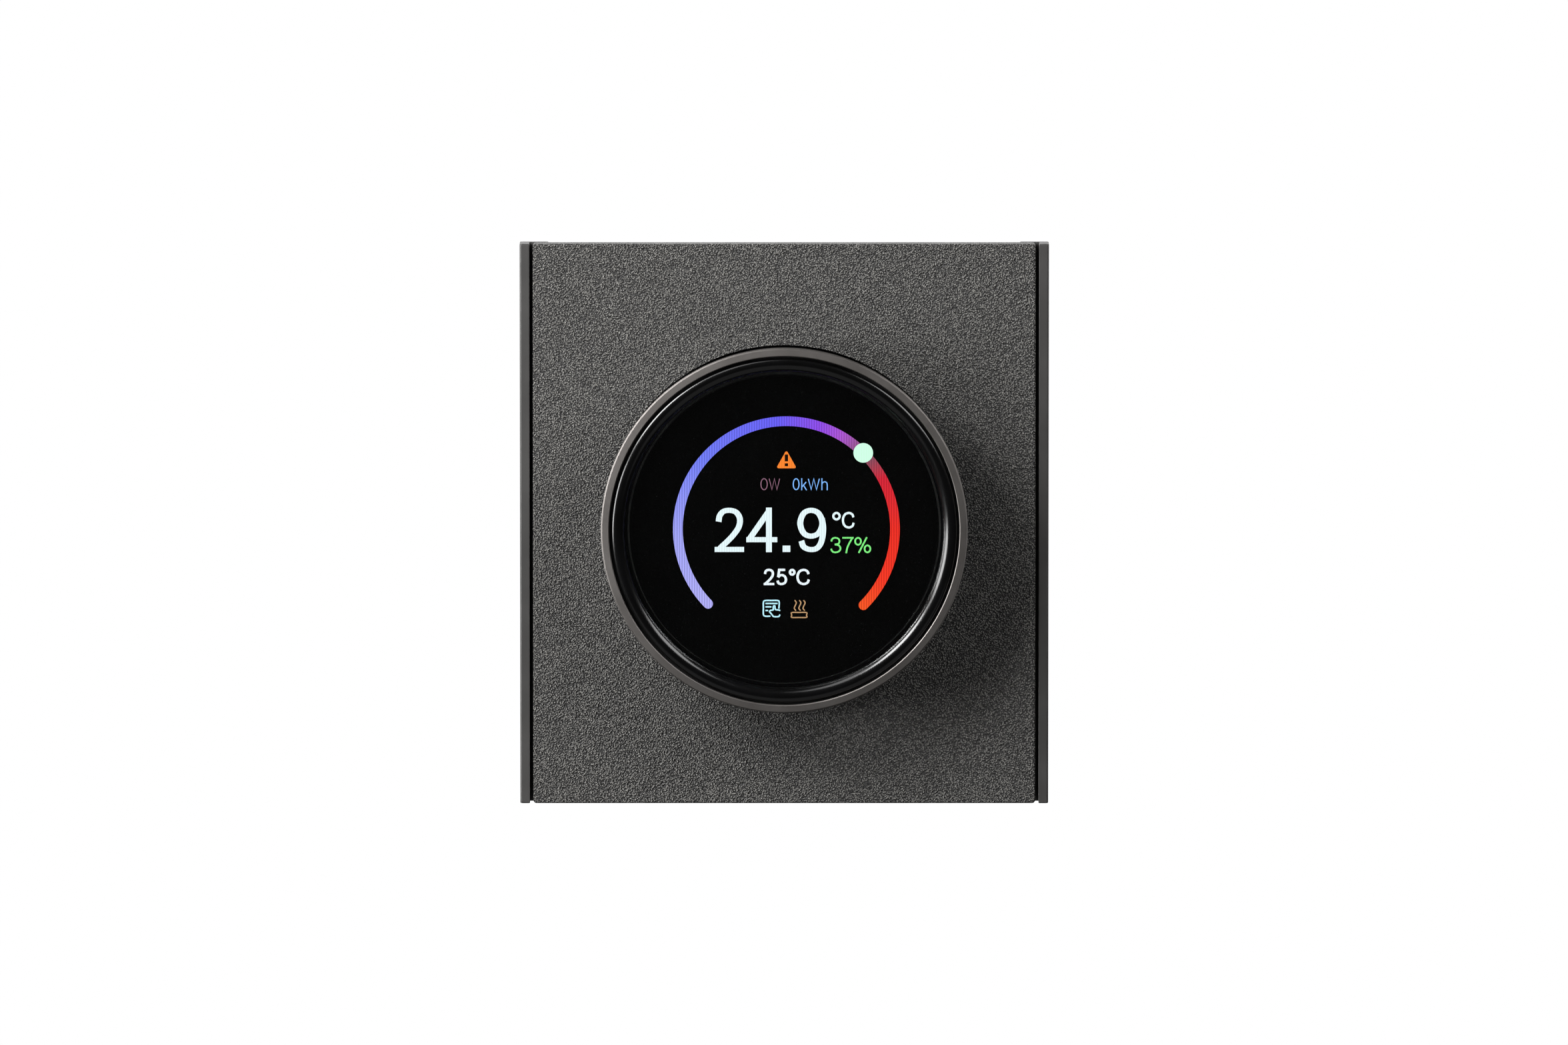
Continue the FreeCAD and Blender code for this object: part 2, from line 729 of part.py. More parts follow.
def knob_carrier():
    body = new_body("knob_carrier", knob_front)
    revolve(body, [
        ("wallInner", "wallStart"), ("bearingOuter", "wallStart"),
        ("bearingOuter", "stepStart"), ("stepOuter", "stepStart"),
        ("stepOuter", "clipStart"), ("clipInner", "clipStart"),
        ("clipInner", "clipEnd"), ("stepOuter", "clipEnd"),
        ("stepOuter", "wallEnd"), ("wallInner - wallStep", "wallEnd"),
        ("wallInner - wallStep", "floorEnd"), ("0", "floorEnd"),
        ("0", "floorStart"), ("wallInner", "floorStart")])
    block = new_sketch(body, "XZ_Plane", "-floorEnd")
    rectangle(block, "ballBlockInner", "wallInner - wallStep / 2", "-ballBlockHalf", "ballBlockHalf")
    pad(body, block, "ballBlockDepth", back=True)
    posts = new_sketch(body, "XZ_Plane", "-floorEnd")
    for x, z in push_places():
        circle(posts, "pushPost", x, z)
    pad(body, posts, knob_front + " - guideFront + guideThick - floorEnd", back=True)
    pusher = new_sketch(body, "XZ_Plane", "-floorEnd")
    circle(pusher, "pusherRadius")
    switch_front = "boardRear + boardThick + switchDepth + plungerRise"
    pad(body, pusher, "%s - floorEnd - (%s)" % (knob_front, switch_front), back=True)
    pilots = new_sketch(body, "XZ_Plane", "guideFront - guideThick - (%s)" % knob_front)
    for x, z in push_places():
        circle(pilots, "pushScrewRadius", x, z)
    pocket(body, pilots, "pushScrewLength", ahead=True)
    slot = new_sketch(body, "XZ_Plane", "-floorStart")
    centred(slot, "flexHalf + flexSlot / 2", "flexSlot", up="-flexPlace")
    pocket(body, slot, "floorEnd - floorStart")
    ball_hole = body.newObject("Sketcher::SketchObject", "knob_carrier_sketch")
    ball_hole.AttachmentSupport = [(origin_feature(body, "YZ_Plane"), "")]
    ball_hole.MapMode = "FlatFace"
    ball_hole.setExpression("AttachmentOffset.Base.z", cells("bearingOuter + wallStep"))
    circle(ball_hole, "ballHole", "ballPlace", "0")
    pocket(body, ball_hole, "bearingOuter + wallStep - ballPocketInner")


def retaining_clip():
    # Split ring in the carrier's groove that holds the skirt on.
    body = new_body("retaining_clip", knob_front)
    revolve(body, [("clipInner", "clipStart"), ("clipOuter", "clipStart"),
                   ("clipOuter", "clipEnd"), ("clipInner", "clipEnd")])
    gap = new_sketch(body, "XZ_Plane", "-clipStart")
    rectangle(gap, "-1", "1", "clipInner - 1", "clipOuter + 1")
    pocket(body, gap, "clipEnd - clipStart")


def display_bezel():
    # Rounded bead: a long quarter-round slope down to the window and a shorter one outside.
    body = new_body("display_bezel", knob_front)
    inner = arc_points("windowRadius", "windowDepth", "beadCrest", "0", 7)
    outer = arc_points("beadOuter", "beadEdge", "beadCrest", "0", 4)
    outer.reverse()
    revolve(body, inner + [("beadCrest", "0")] + outer + [
        ("beadOuter", "beadSkirt"), ("bearingOuter", "beadSkirt"),
        ("bearingOuter", "wallStart"), ("glassSeat", "wallStart"),
        ("glassSeat", "windowDepth")])


def arc_points(from_radius, from_depth, to_radius, to_depth, count):
    # Quarter-ellipse from a steep start to a level end, without its last point.
    points = []
    for index in range(count):
        turn = 90.0 * index / count
        radius = "%s + (%s - %s) * (1 - cos(%g deg))" % (from_radius, to_radius, from_radius, turn)
        depth = "%s + (%s - %s) * sin(%g deg)" % (from_depth, to_depth, from_depth, turn)
        points.append((radius, depth))
    return points


def disc(label, radius, start, thick):
    body = new_body(label, knob_front)
    outline = new_sketch(body, "XZ_Plane", "-(%s)" % start)
    circle(outline, radius)
    pad(body, outline, thick, back=True)
    return body


def display_stack():
    disc("display_glass", "glassRadius", "windowDepth", "glassThick")
    disc("display_panel", "panelRadius", "panelStart", "panelThick")
    disc("backlight_tray", "trayRadius", "trayStart", "trayThick")


def display_flex():
    # Ribbon from behind the backlight to the control board's connector, with one easy bend.
    body = new_body("display_flex", knob_front)
    start = "trayStart + trayThick"
    end = knob_front + " - boardRear - boardThick - connectorDepth"
    section = new_sketch(body, "YZ_Plane", "-flexHalf")
    polygon(section, [(start, "-flexPlace"), ("flexBend", "-flexPlace"), (end, "-flexEnd"),
                      (end, "-flexEnd - flexThick"), ("flexBend", "-flexPlace - flexThick"),
                      (start, "-flexPlace - flexThick")])
    pad(body, section, "2 * flexHalf")


def coil(label, radius, wire, length, turns, places):
    # Coil springs whose axes start at the given placements; their shape needs a swept helix.
    helix = Part.makeLongHelix(length / turns, length, radius)
    start = FreeCAD.Vector(radius, 0, 0)
    profile = Part.Wire(Part.makeCircle(wire, start, FreeCAD.Vector(0, 1, 0)))
    spring = Part.Wire(helix.Edges).makePipeShell([profile], True, True)
    copies = []
    for placement in places:
        copy = spring.copy()
        copy.Placement = placement
        copies.append(copy)
    feature = doc.addObject("Part::Feature", label)
    feature.Label = label
    feature.Shape = Part.makeCompound(copies)
    feature.Placement = FreeCAD.Placement()
    pieces.append(feature)


def springs():
    wire = number("springWire")
    start = -number(knob_front + " - floorEnd") + wire
    length = number(knob_front + " - floorEnd - guideFront") - 2 * wire
    turned = FreeCAD.Rotation(FreeCAD.Vector(1, 0, 0), -90)
    places = []
    for x, z in push_places():
        places.append(FreeCAD.Placement(FreeCAD.Vector(number(x), start, number(z)), turned))
    coil("return_springs", number("springCoil"), wire, length, number("springTurns"), places)
    fine = number("ballSpringWire")
    inner = number("ballPocketInner") + fine
    reach = number("ballReach - 2 * ballRadius") - fine - inner
    sideways = FreeCAD.Rotation(FreeCAD.Vector(0, 1, 0), 90)
    depth = number("ballPlace - (%s)" % knob_front)
    coil("detent_spring", number("ballSpringCoil"), fine, reach, number("ballSpringTurns"),
         [FreeCAD.Placement(FreeCAD.Vector(inner, depth, 0), sideways)])


def detent_ball():
    ball = doc.addObject("Part::Sphere", "detent_ball")
    ball.Label = "detent_ball"
    ball.setExpression("Radius", cells("ballRadius"))
    ball.setExpression("Placement.Base.x", cells("ballReach - ballRadius"))
    ball.setExpression("Placement.Base.y", cells("ballPlace - (%s)" % knob_front))
    pieces.append(ball)


def push_screws():
    screws("push_screws", "guideFront - guideThick", push_places(), "pushScrewRadius", "pushScrewLength",
           "pushScrewHead", "pushScrewHeadDepth")


def switch_plunger():
    body = new_body("switch_plunger", "boardRear + boardThick + switchDepth")
    outline = new_sketch(body, "XZ_Plane", "plungerRise")
    circle(outline, "plungerRadius")
    pad(body, outline, "plungerRise + plungerFoot", back=True)


# ---- power unit ----

def slot_outline(sketch, across):
    # Slot along X with round ends.
    half = "(slotLength / 2 - slotRadius)"
    left = FreeCAD.Vector(number(across + " - " + half), 0, 0)
    right = FreeCAD.Vector(number(across + " + " + half), 0, 0)
    radius = number("slotRadius")
    up = FreeCAD.Vector(0, radius, 0)
    normal = FreeCAD.Vector(0, 0, 1)
    quarter = math.pi / 2
    first = sketch.GeometryCount
    sketch.addGeometry(Part.ArcOfCircle(Part.Circle(right, normal, radius), -quarter, quarter), False)
    sketch.addGeometry(Part.LineSegment(right + up, left + up), False)
    sketch.addGeometry(Part.ArcOfCircle(Part.Circle(left, normal, radius), quarter, 3 * quarter), False)
    sketch.addGeometry(Part.LineSegment(left - up, right - up), False)
    for index in range(4):
        following = first + (index + 1) % 4
        sketch.addConstraint(Sketcher.Constraint("Tangent", first + index, 2, following, 1))
    fix(sketch, "DistanceX", first, 3, across + " + " + half)
    fix(sketch, "DistanceY", first, 3, "0")
    fix(sketch, "DistanceX", first + 2, 3, across + " - " + half)
    size = sketch.addConstraint(Sketcher.Constraint("Radius", first, radius))
    sketch.setExpression("Constraints[%d]" % size, cells("slotRadius"))


def mounting_yoke():
    body = new_body("mounting_yoke")
    outline = new_sketch(body, "XZ_Plane")
    centred(outline, "yokeHalf", "yokeHalf")
    centred(outline, "yokeOpening", "yokeOpening")
    for x, z in four("rivetX", "rivetZ"):
        circle(outline, "rivetRadius", x, z)
    pad(body, outline, "yokeThick")
    slots = new_sketch(body, "XZ_Plane")
    slot_outline(slots, "slotSpacing / 2")
    slot_outline(slots, "-slotSpacing / 2")
    pocket(body, slots, "yokeThick", ahead=True)
    soften(body, outer_corner("yokeHalf", "yokeHalf"), "yokeCorner")


def rear_housing():
    body = new_body("rear_housing", "yokeThick")
    box = new_sketch(body, "XZ_Plane")
    centred(box, "boxHalf", "boxHalf")
    pad(body, box, "boxDepth + yokeThick", back=True)
    soften(body, outer_corner("boxHalf", "boxHalf"), "boxCorner")
    flange = new_sketch(body, "XZ_Plane")
    centred(flange, "flangeHalfWidth", "flangeHalfHeight")
    pad(body, flange, "flangeThick")
    inside = new_sketch(body, "XZ_Plane", "flangeThick")
    centred(inside, "boxHalf - boxWall", "boxHalf - boxWall")
    pocket(body, inside, "boxDepth + yokeThick + flangeThick - boxWall")
    bosses = new_sketch(body, "XZ_Plane", "flangeThick - lidThick")
    for x, z in four("lidBossX", "lidBossZ"):
        side = "boxHalf - boxWall"
        outer = side if not x.startswith("-") else "-(%s)" % side
        inner = "%s - lidBoss" % x if not x.startswith("-") else "%s + lidBoss" % x
        rectangle(bosses, outer, inner, "%s - lidBoss" % z, "%s + lidBoss" % z)
    pad(body, bosses, "lidScrewLength + lidBossFloor", back=True)
    pilots = new_sketch(body, "XZ_Plane", "flangeThick - lidThick")
    for x, z in four("lidBossX", "lidBossZ"):
        circle(pilots, "lidScrewRadius", x, z)
    pocket(body, pilots, "lidScrewLength")
    rivets = new_sketch(body, "XZ_Plane")
    for x, z in four("rivetX", "rivetZ"):
        circle(rivets, "rivetRadius", x, z)
    pocket(body, rivets, "flangeThick", ahead=True)
    drivers = new_sketch(body, "XZ_Plane", "-boxDepth - yokeThick")
    for x in row_places("terminalCount", "terminalPitch"):
        circle(drivers, "driverHole", x, "-blockBottom + cageFloor + cageHeight / 2")
    pocket(body, drivers, "boxWall", ahead=True)
    wires = new_sketch(body, "XY_Plane", "-boxHalf")
    for x in row_places("terminalCount", "terminalPitch"):
        centred(wires, "wireHalf", "wireHalf", x, "boxDepth + yokeThick - boxWall - wireInset")
    pocket(body, wires, "boxWall", ahead=True)


def housing_lid():
    body = new_body("housing_lid", "yokeThick + flangeThick - lidThick")
    outline = new_sketch(body, "XZ_Plane")
    centred(outline, "boxHalf - boxWall - lidGap", "boxHalf - boxWall - lidGap")
    centred(outline, "plugHalfWidth + lidGap", "plugHalfHeight + lidGap", up="plugZ")
    for x, z in four("postPlace", "postPlace"):
        circle(outline, "lidHole", x, z)
    for x, z in four("lidBossX", "lidBossZ"):
        circle(outline, "lidScrewRadius", x, z)
    pad(body, outline, "lidThick")
    heads = new_sketch(body, "XZ_Plane", "lidThick")
    for x, z in four("lidBossX", "lidBossZ"):
        circle(heads, "lidScrewHead", x, z)
    pocket(body, heads, "lidScrewHeadDepth")


def lid_screws():
    # Their heads face the front, flush in the lid.
    body = new_body("lid_screws", "yokeThick + flangeThick - lidScrewHeadDepth")
    heads = new_sketch(body, "XZ_Plane")
    for x, z in four("lidBossX", "lidBossZ"):
        circle(heads, "lidScrewHead", x, z)
    pad(body, heads, "lidScrewHeadDepth")
    shanks = new_sketch(body, "XZ_Plane")
    for x, z in four("lidBossX", "lidBossZ"):
        circle(shanks, "lidScrewRadius", x, z)
    pad(body, shanks, "lidScrewLength", back=True)


def yoke_rivets():
    body = new_body("yoke_rivets", "yokeThick + flangeThick")
    shanks = new_sketch(body, "XZ_Plane")
    for x, z in four("rivetX", "rivetZ"):
        circle(shanks, "rivetRadius", x, z)
    pad(body, shanks, "yokeThick + flangeThick", back=True)
    heads = new_sketch(body, "XZ_Plane")
    for x, z in four("rivetX", "rivetZ"):
        circle(heads, "rivetHead", x, z)
    pad(body, heads, "rivetHeadDepth")


def plug_socket():
    body = new_body("plug_socket", "yokeThick + flangeThick")
    outline = new_sketch(body, "XZ_Plane")
    centred(outline, "plugHalfWidth", "plugHalfHeight", up="plugZ")
    pad(body, outline, "socketDepth", back=True)
    holes = new_sketch(body, "XZ_Plane")
    for x in row_places("pinCount", "pinPitch"):
        centred(holes, "pinHoleHalf", "pinHoleHalf", x, "plugZ")
    pocket(body, holes, "socketDepth - socketFloor")


power_board_front = "yokeThick + flangeThick - socketDepth"
power_board_rear = "yokeThick + flangeThick - socketDepth - powerBoardThick"


def power_board():
    body = new_body("power_board", power_board_rear)
    outline = new_sketch(body, "XZ_Plane")
    high = "powerBoardHalf"
    cut = "(powerBoardHalf - cornerCut)"
    polygon(outline, [("-" + cut, "-" + high), (cut, "-" + high), (high, "-" + cut), (high, cut),
                      (cut, high), ("-" + cut, high), ("-" + high, cut), ("-" + high, "-" + cut)])
    pad(body, outline, "powerBoardThick")


def behind_board(label, half_width, half_height, depth, x, z, rounding=None):
    # A component that stands on the power board's rear face.
    body = new_body(label, power_board_rear)
    outline = new_sketch(body, "XZ_Plane")
    centred(outline, half_width, half_height, x, z)
    pad(body, outline, depth, back=True)
    if rounding:
        soften(body, along_y, rounding)
    return body


def power_parts():
    behind_board("power_relay", "relayHalfWidth", "relayHalfHeight", "relayDepth", "relayX", "relayZ",
                 "relayRound")
    behind_board("transformer", "transformerHalfWidth", "transformerHalfHeight", "transformerDepth",
                 "transformerX", "transformerZ", "transformerRound")
    behind_board("surge_varistor", "varistorHalfWidth", "varistorHalfHeight", "varistorDepth",
                 "varistorX", "varistorZ", "varistorRound")
    behind_board("current_shunt", "shuntHalfWidth", "shuntHalfHeight", "shuntDepth", "shuntX", "shuntZ")
    capacitor = new_body("bulk_capacitor", power_board_rear)
    outline = new_sketch(capacitor, "XZ_Plane")
    circle(outline, "capacitorRadius", "capacitorX", "capacitorZ")
    pad(capacitor, outline, "capacitorDepth", back=True)
    soften(capacitor, lambda edge: edge.Curve.TypeId == "Part::GeomCircle", "capacitorRound")
    fuse = new_body("fuse", power_board_rear)
    outline = new_sketch(fuse, "XZ_Plane")
    circle(outline, "fuseRadius", "fuseX", "fuseZ")
    pad(fuse, outline, "fuseDepth", back=True)
    meter = new_body("meter_chip", power_board_front)
    outline = new_sketch(meter, "XZ_Plane")
    centred(outline, "meterHalfWidth", "meterHalfHeight", "meterPlace", "meterPlace")
    pad(meter, outline, "meterDepth")


def terminal_block():
    body = new_body("terminal_block", power_board_rear)
    outline = new_sketch(body, "XZ_Plane")
    half = "terminalCount * terminalPitch / 2"
    rectangle(outline, "-" + half, half, "-blockBottom", "blockHeight - blockBottom")
    pad(body, outline, "blockDepth", back=True)
    pockets = new_sketch(body, "XZ_Plane", "-blockDepth")
    for x in row_places("terminalCount", "terminalPitch"):
        rectangle(pockets, x + " - cagePocketHalf", x + " + cagePocketHalf", "cageFloor - blockBottom",
                  "cageFloor - blockBottom + cageHeight + cageGap")
    pocket(body, pockets, "cageDepth + cageMouth", ahead=True)
    tunnels = new_sketch(body, "XY_Plane", "-blockBottom")
    for x in row_places("terminalCount", "terminalPitch"):
        centred(tunnels, "wireHalf", "wireHalf", x, "blockDepth - wireInset")
    pocket(body, tunnels, "cageFloor", ahead=True)


def terminal_clamps():
    # Brass cages that close on the wires when their screws are turned.
    body = new_body("terminal_clamps", power_board_rear)
    outline = new_sketch(body, "XZ_Plane", "cageMouth - blockDepth")
    for x in row_places("terminalCount", "terminalPitch"):
        rectangle(outline, x + " - cageHalfWidth", x + " + cageHalfWidth", "cageFloor - blockBottom",
                  "cageFloor - blockBottom + cageHeight")
    pad(body, outline, "cageDepth")
    mouths = new_sketch(body, "XY_Plane", "cageFloor - blockBottom")
    for x in row_places("terminalCount", "terminalPitch"):
        centred(mouths, "wireHalf", "wireHalf", x, "blockDepth - wireInset")
    pocket(body, mouths, "cageHeight", ahead=True)
    threads = new_sketch(body, "XZ_Plane", "cageMouth - blockDepth")
    for x in row_places("terminalCount", "terminalPitch"):
        circle(threads, "terminalScrewRadius", x, "cageFloor - blockBottom + cageHeight / 2")
    pocket(body, threads, "wireInset - wireHalf - cageMouth", ahead=True)


def terminal_screws():
    columns = row_places("terminalCount", "terminalPitch")
    places = [(x, "cageFloor - blockBottom + cageHeight / 2") for x in columns]
    screws("terminal_screws", power_board_rear + " - blockDepth + cageMouth", places, "terminalScrewRadius",
           "wireInset - wireHalf - cageMouth", "terminalScrewHead", "terminalScrewHeadDepth")


front_plate()
side_strip("side_strip_left", "-1")
side_strip("side_strip_right", "1")
back_cover()
cover_screws()
push_guide()
guide_screws()
control_board()
control_parts()
plug_pins()
knob_ring()
knob_skirt()
magnet_ring()
knob_carrier()
retaining_clip()
display_bezel()
display_stack()
display_flex()
springs()
detent_ball()
push_screws()
switch_plunger()
mounting_yoke()
rear_housing()
housing_lid()
lid_screws()
yoke_rivets()
plug_socket()
power_board()
power_parts()
terminal_block()
terminal_clamps()
terminal_screws()

doc.recompute()
for item in doc.Objects:
    if "Invalid" in item.State or "Error" in item.State:
        raise RuntimeError("%s failed: %s" % (item.Label, item.State))
os.makedirs("parts", exist_ok=True)
for piece in pieces:
    if piece.Shape.isNull() or not piece.Shape.isValid():
        raise RuntimeError(piece.Label + " has no valid shape")
    piece.Shape.exportStep("parts/%s.step" % piece.Label)
    print(piece.Label, len(piece.Shape.Solids), round(piece.Shape.Volume, 1))
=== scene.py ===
import math

import bpy
import numpy as np
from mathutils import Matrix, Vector


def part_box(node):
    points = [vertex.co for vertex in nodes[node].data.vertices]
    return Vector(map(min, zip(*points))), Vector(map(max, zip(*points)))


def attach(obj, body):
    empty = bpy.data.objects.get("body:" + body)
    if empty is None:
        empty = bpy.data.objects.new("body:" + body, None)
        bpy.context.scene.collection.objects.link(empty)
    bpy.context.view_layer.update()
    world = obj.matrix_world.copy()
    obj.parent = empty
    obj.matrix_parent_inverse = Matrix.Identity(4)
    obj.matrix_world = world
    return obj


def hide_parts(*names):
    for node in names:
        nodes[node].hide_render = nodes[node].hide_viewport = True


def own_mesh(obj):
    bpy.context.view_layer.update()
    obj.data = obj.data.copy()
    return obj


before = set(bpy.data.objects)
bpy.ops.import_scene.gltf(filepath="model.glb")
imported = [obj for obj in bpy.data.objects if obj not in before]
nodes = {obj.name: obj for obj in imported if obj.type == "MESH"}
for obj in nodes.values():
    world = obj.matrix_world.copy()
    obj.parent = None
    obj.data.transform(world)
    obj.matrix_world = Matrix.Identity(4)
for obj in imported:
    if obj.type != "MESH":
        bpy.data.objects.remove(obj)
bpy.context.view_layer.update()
print("frame loaded:", len(nodes), "nodes")


# Places from the CAD, in millimetres. The wall is y = 0 and the front looks along -Y.
def cadBox(name):
    # Lowest and highest corner of a CAD node in millimetres.
    low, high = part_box(name)
    return np.array(low) * 1000, np.array(high) * 1000


plateLow, plateHigh = cadBox("front_plate")
plateFront = plateLow[1]
knobFront = cadBox("knob_ring")[0][1]
panelFront = cadBox("display_panel")[0][1]
sharpAngle = 32  # degrees between two faces, above which the edge between them is shaded sharp


def corner(before, here, after, radius, steps=5, hold=0.04):
    # One rounded corner: centre + (sin((1-t)w) a + sin(t w) b) / sin w between the two tangent points,
    # with a point a hold's length before and after the arc, so that the flats stay flat.
    before, here, after = (np.asarray(p, float) for p in (before, here, after))
    back = (before - here) / np.linalg.norm(before - here)
    ahead = (after - here) / np.linalg.norm(after - here)
    half = math.acos(float(np.clip(back @ ahead, -1, 1))) / 2
    reach = radius / math.tan(half)
    middle = (back + ahead) / np.linalg.norm(back + ahead)
    centre = here + middle * radius / math.sin(half)
    first, last = here + back * reach - centre, here + ahead * reach - centre
    sweep = math.pi - 2 * half
    t = np.linspace(0, 1, steps + 1)[:, None]
    arc = centre + (np.sin((1 - t) * sweep) * first + np.sin(t * sweep) * last) / math.sin(sweep)
    return np.vstack([here + back * (reach + hold), arc, here + ahead * (reach + hold)])


def softOutline(points, radii, steps=5, hold=0.04):
    # A closed outline with every corner rounded: one arc, by corner(), for each of its points.
    count = len(points)
    return np.vstack([corner(points[i - 1], points[i], points[(i + 1) % count], radii[i], steps, hold)
                      for i in range(count)])


def turned(profile, count, ripple=None):
    # A profile of (radius, y) turned round the Y axis: (r sin a, y, r cos a), where ripple may add to r.
    angle = np.linspace(0, 2 * math.pi, count, endpoint=False)
    radius = profile[:, :1] + (0 if ripple is None else ripple(profile, angle))
    height = np.broadcast_to(profile[:, 1:2], (len(profile), count))
    return np.stack([radius * np.sin(angle), height, radius * np.cos(angle)], -1)


def roundedBox(halfX, halfZ, radius, perSide=90, perCorner=8):
    # Outline of a rectangle with round corners: corner centre + radius (sin a, cos a), and between these
    # arcs straight runs of evenly spaced points.
    sides = []
    for index, (x, z) in enumerate(((1, 1), (1, -1), (-1, -1), (-1, 1))):
        turn = math.pi / 2 * index + np.linspace(0, math.pi / 2, perCorner + 1)
        arc = np.stack([x * (halfX - radius) + radius * np.sin(turn),
                        z * (halfZ - radius) + radius * np.cos(turn)], 1)
        sides.append(arc)
    rows = []
    for index, arc in enumerate(sides):
        t = np.linspace(0, 1, perSide + 1)[1:-1, None]
        rows += [arc, arc[-1] * (1 - t) + sides[(index + 1) % 4][0] * t]
    return np.vstack(rows)


def wrapped(grid, ends="join"):
    # Points and faces of rows of points. Each row closes on itself; the rows close too, or end in flat caps.
    # The faces turn outward: the volume, a . (b x c) summed over their triangles, has to come out positive.
    rows, count = grid.shape[:2]
    index = np.arange(rows * count).reshape(rows, count)
    lower, upper = (index, np.roll(index, -1, 0)) if ends == "join" else (index[:-1], index[1:])
    quads = np.stack([lower, np.roll(lower, -1, 1), np.roll(upper, -1, 1), upper], -1).reshape(-1, 4)
    points = grid.reshape(-1, 3)
    caps = [] if ends == "join" else [index[0][::-1], index[-1]]
    seen = points - points.mean(0)
    a, b, c, d = (seen[quads[:, i]] for i in range(4))
    volume = (a * np.cross(b, c)).sum() + (a * np.cross(c, d)).sum()
    if volume < 0:
        quads, caps = quads[:, ::-1], [cap[::-1] for cap in caps]
    return points, [row.tolist() for row in (*quads, *caps)]


def addPiece(name, parts, body, material, replaced=()):
    # Puts the parts, given in millimetres, into one mesh, and hangs it on its body.
    points, faces, start = [], [], 0
    for partPoints, partFaces in parts:
        points.append(partPoints)
        faces += [[i + start for i in face] for face in partFaces]
        start += len(partPoints)
    mesh = bpy.data.meshes.new(name)
    mesh.from_pydata((np.vstack(points) / 1000).tolist(), [], faces)
    mesh.validate()
    mesh.shade_smooth()
    mesh.set_sharp_from_angle(angle=math.radians(sharpAngle))
    mesh.materials.append(material)
    piece = bpy.data.objects.new(name, mesh)
    bpy.context.scene.collection.objects.link(piece)
    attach(piece, body)
    if replaced:
        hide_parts(*replaced)
    return piece


def linear(hexColour):
    # An sRGB hex colour as linear red, green, blue and 1: c / 12.92 when dark, or else
    # ((c + 0.055) / 1.055)^2.4.
    values = np.array([int(hexColour[i:i + 2], 16) for i in (0, 2, 4)]) / 255
    values = np.where(values <= 0.04045, values / 12.92, ((values + 0.055) / 1.055) ** 2.4)
    return (*values.tolist(), 1.0)


def addNode(tree, kind, inputs=None, **settings):
    # Adds a node, sets its settings, and sets or links each named input.
    made = tree.nodes.new(kind)
    for key, value in settings.items():
        setattr(made, key, value)
    for key, value in (inputs or {}).items():
        if isinstance(value, bpy.types.NodeSocket):
            tree.links.new(value, made.inputs[key])
        else:
            made.inputs[key].default_value = value
    return made


def startMaterial(name):
    # A material with its shader, and the object's own coordinates in metres.
    material = bpy.data.materials.new(name)
    material.use_nodes = True
    tree = material.node_tree
    shader = tree.nodes["Principled BSDF"]
    place = addNode(tree, "ShaderNodeTexCoord").outputs["Object"]
    return material, tree, shader, place


def setShader(shader, **values):
    # Sets the shader's own sockets by their names, with _ for each space.
    for key, value in values.items():
        shader.inputs[key.replace("_", " ")].default_value = value


def perMetre(millimetres):
    # Texture scale whose features are this many millimetres across.
    return 1000 / millimetres


def blendColours(tree, factor, first, second, low=0.35, high=0.65):
    # Ramp between two colours over part of a texture's range.
    ramp = addNode(tree, "ShaderNodeValToRGB", {"Fac": factor})
    ramp.color_ramp.elements[0].position, ramp.color_ramp.elements[1].position = low, high
    ramp.color_ramp.elements[0].color, ramp.color_ramp.elements[1].color = linear(first), linear(second)
    return ramp.outputs["Color"]


def spread(tree, factor, low, high):
    # Maps a texture's 0.3..0.7 onto low..high.
    return addNode(tree, "ShaderNodeMapRange", {"Value": factor, "From Min": 0.3, "From Max": 0.7,
                                                 "To Min": low, "To Max": high}).outputs["Result"]


# The plate's light and dark colours follow the grain's height: a painted highlight on the tips and painted
# shade in the hollows.
plateLook = {"light": "93918c", "dark": "272625", "grain": 0.24, "worm": 0.2, "depth": 0.26, "cloud": 9,
             "tips": (0.0, 0.35), "roughness": (0.36, 0.48)}


def sparkGrainedAbs(name, look):
    # Moulded ABS from a spark-eroded tool: matt charcoal pebbles that catch a raking light one by one.
    material, tree, shader, place = startMaterial(name)
    pebbles = addNode(tree, "ShaderNodeTexVoronoi", {"Vector": place, "Scale": perMetre(look["grain"]),
                                                     "Smoothness": 0.5}, feature="SMOOTH_F1")
    worms = addNode(tree, "ShaderNodeTexNoise", {"Vector": place, "Scale": perMetre(look["worm"]),
                                                 "Detail": 2.0, "Roughness": 0.6})
    drift = addNode(tree, "ShaderNodeTexNoise", {"Vector": place, "Scale": perMetre(look["cloud"]),
                                                 "Detail": 2})
    height = addNode(tree, "ShaderNodeMath", {0: worms.outputs["Fac"], 1: pebbles.outputs["Distance"]},
                     operation="SUBTRACT")
    bump = addNode(tree, "ShaderNodeBump", {"Height": height.outputs[0], "Distance": look["depth"] / 1000})
    tree.links.new(bump.outputs["Normal"], shader.inputs["Normal"])
    # Hollows are painted darker than the tips: painted shade in the grain's hollows and a painted highlight
    # on its tips, as a raking light would give them.
    tree.links.new(blendColours(tree, height.outputs[0], look["dark"], look["light"], *look["tips"]),
                   shader.inputs["Base Color"])
    tree.links.new(spread(tree, drift.outputs["Fac"], *look["roughness"]), shader.inputs["Roughness"])
    setShader(shader, IOR=1.54)
    return material


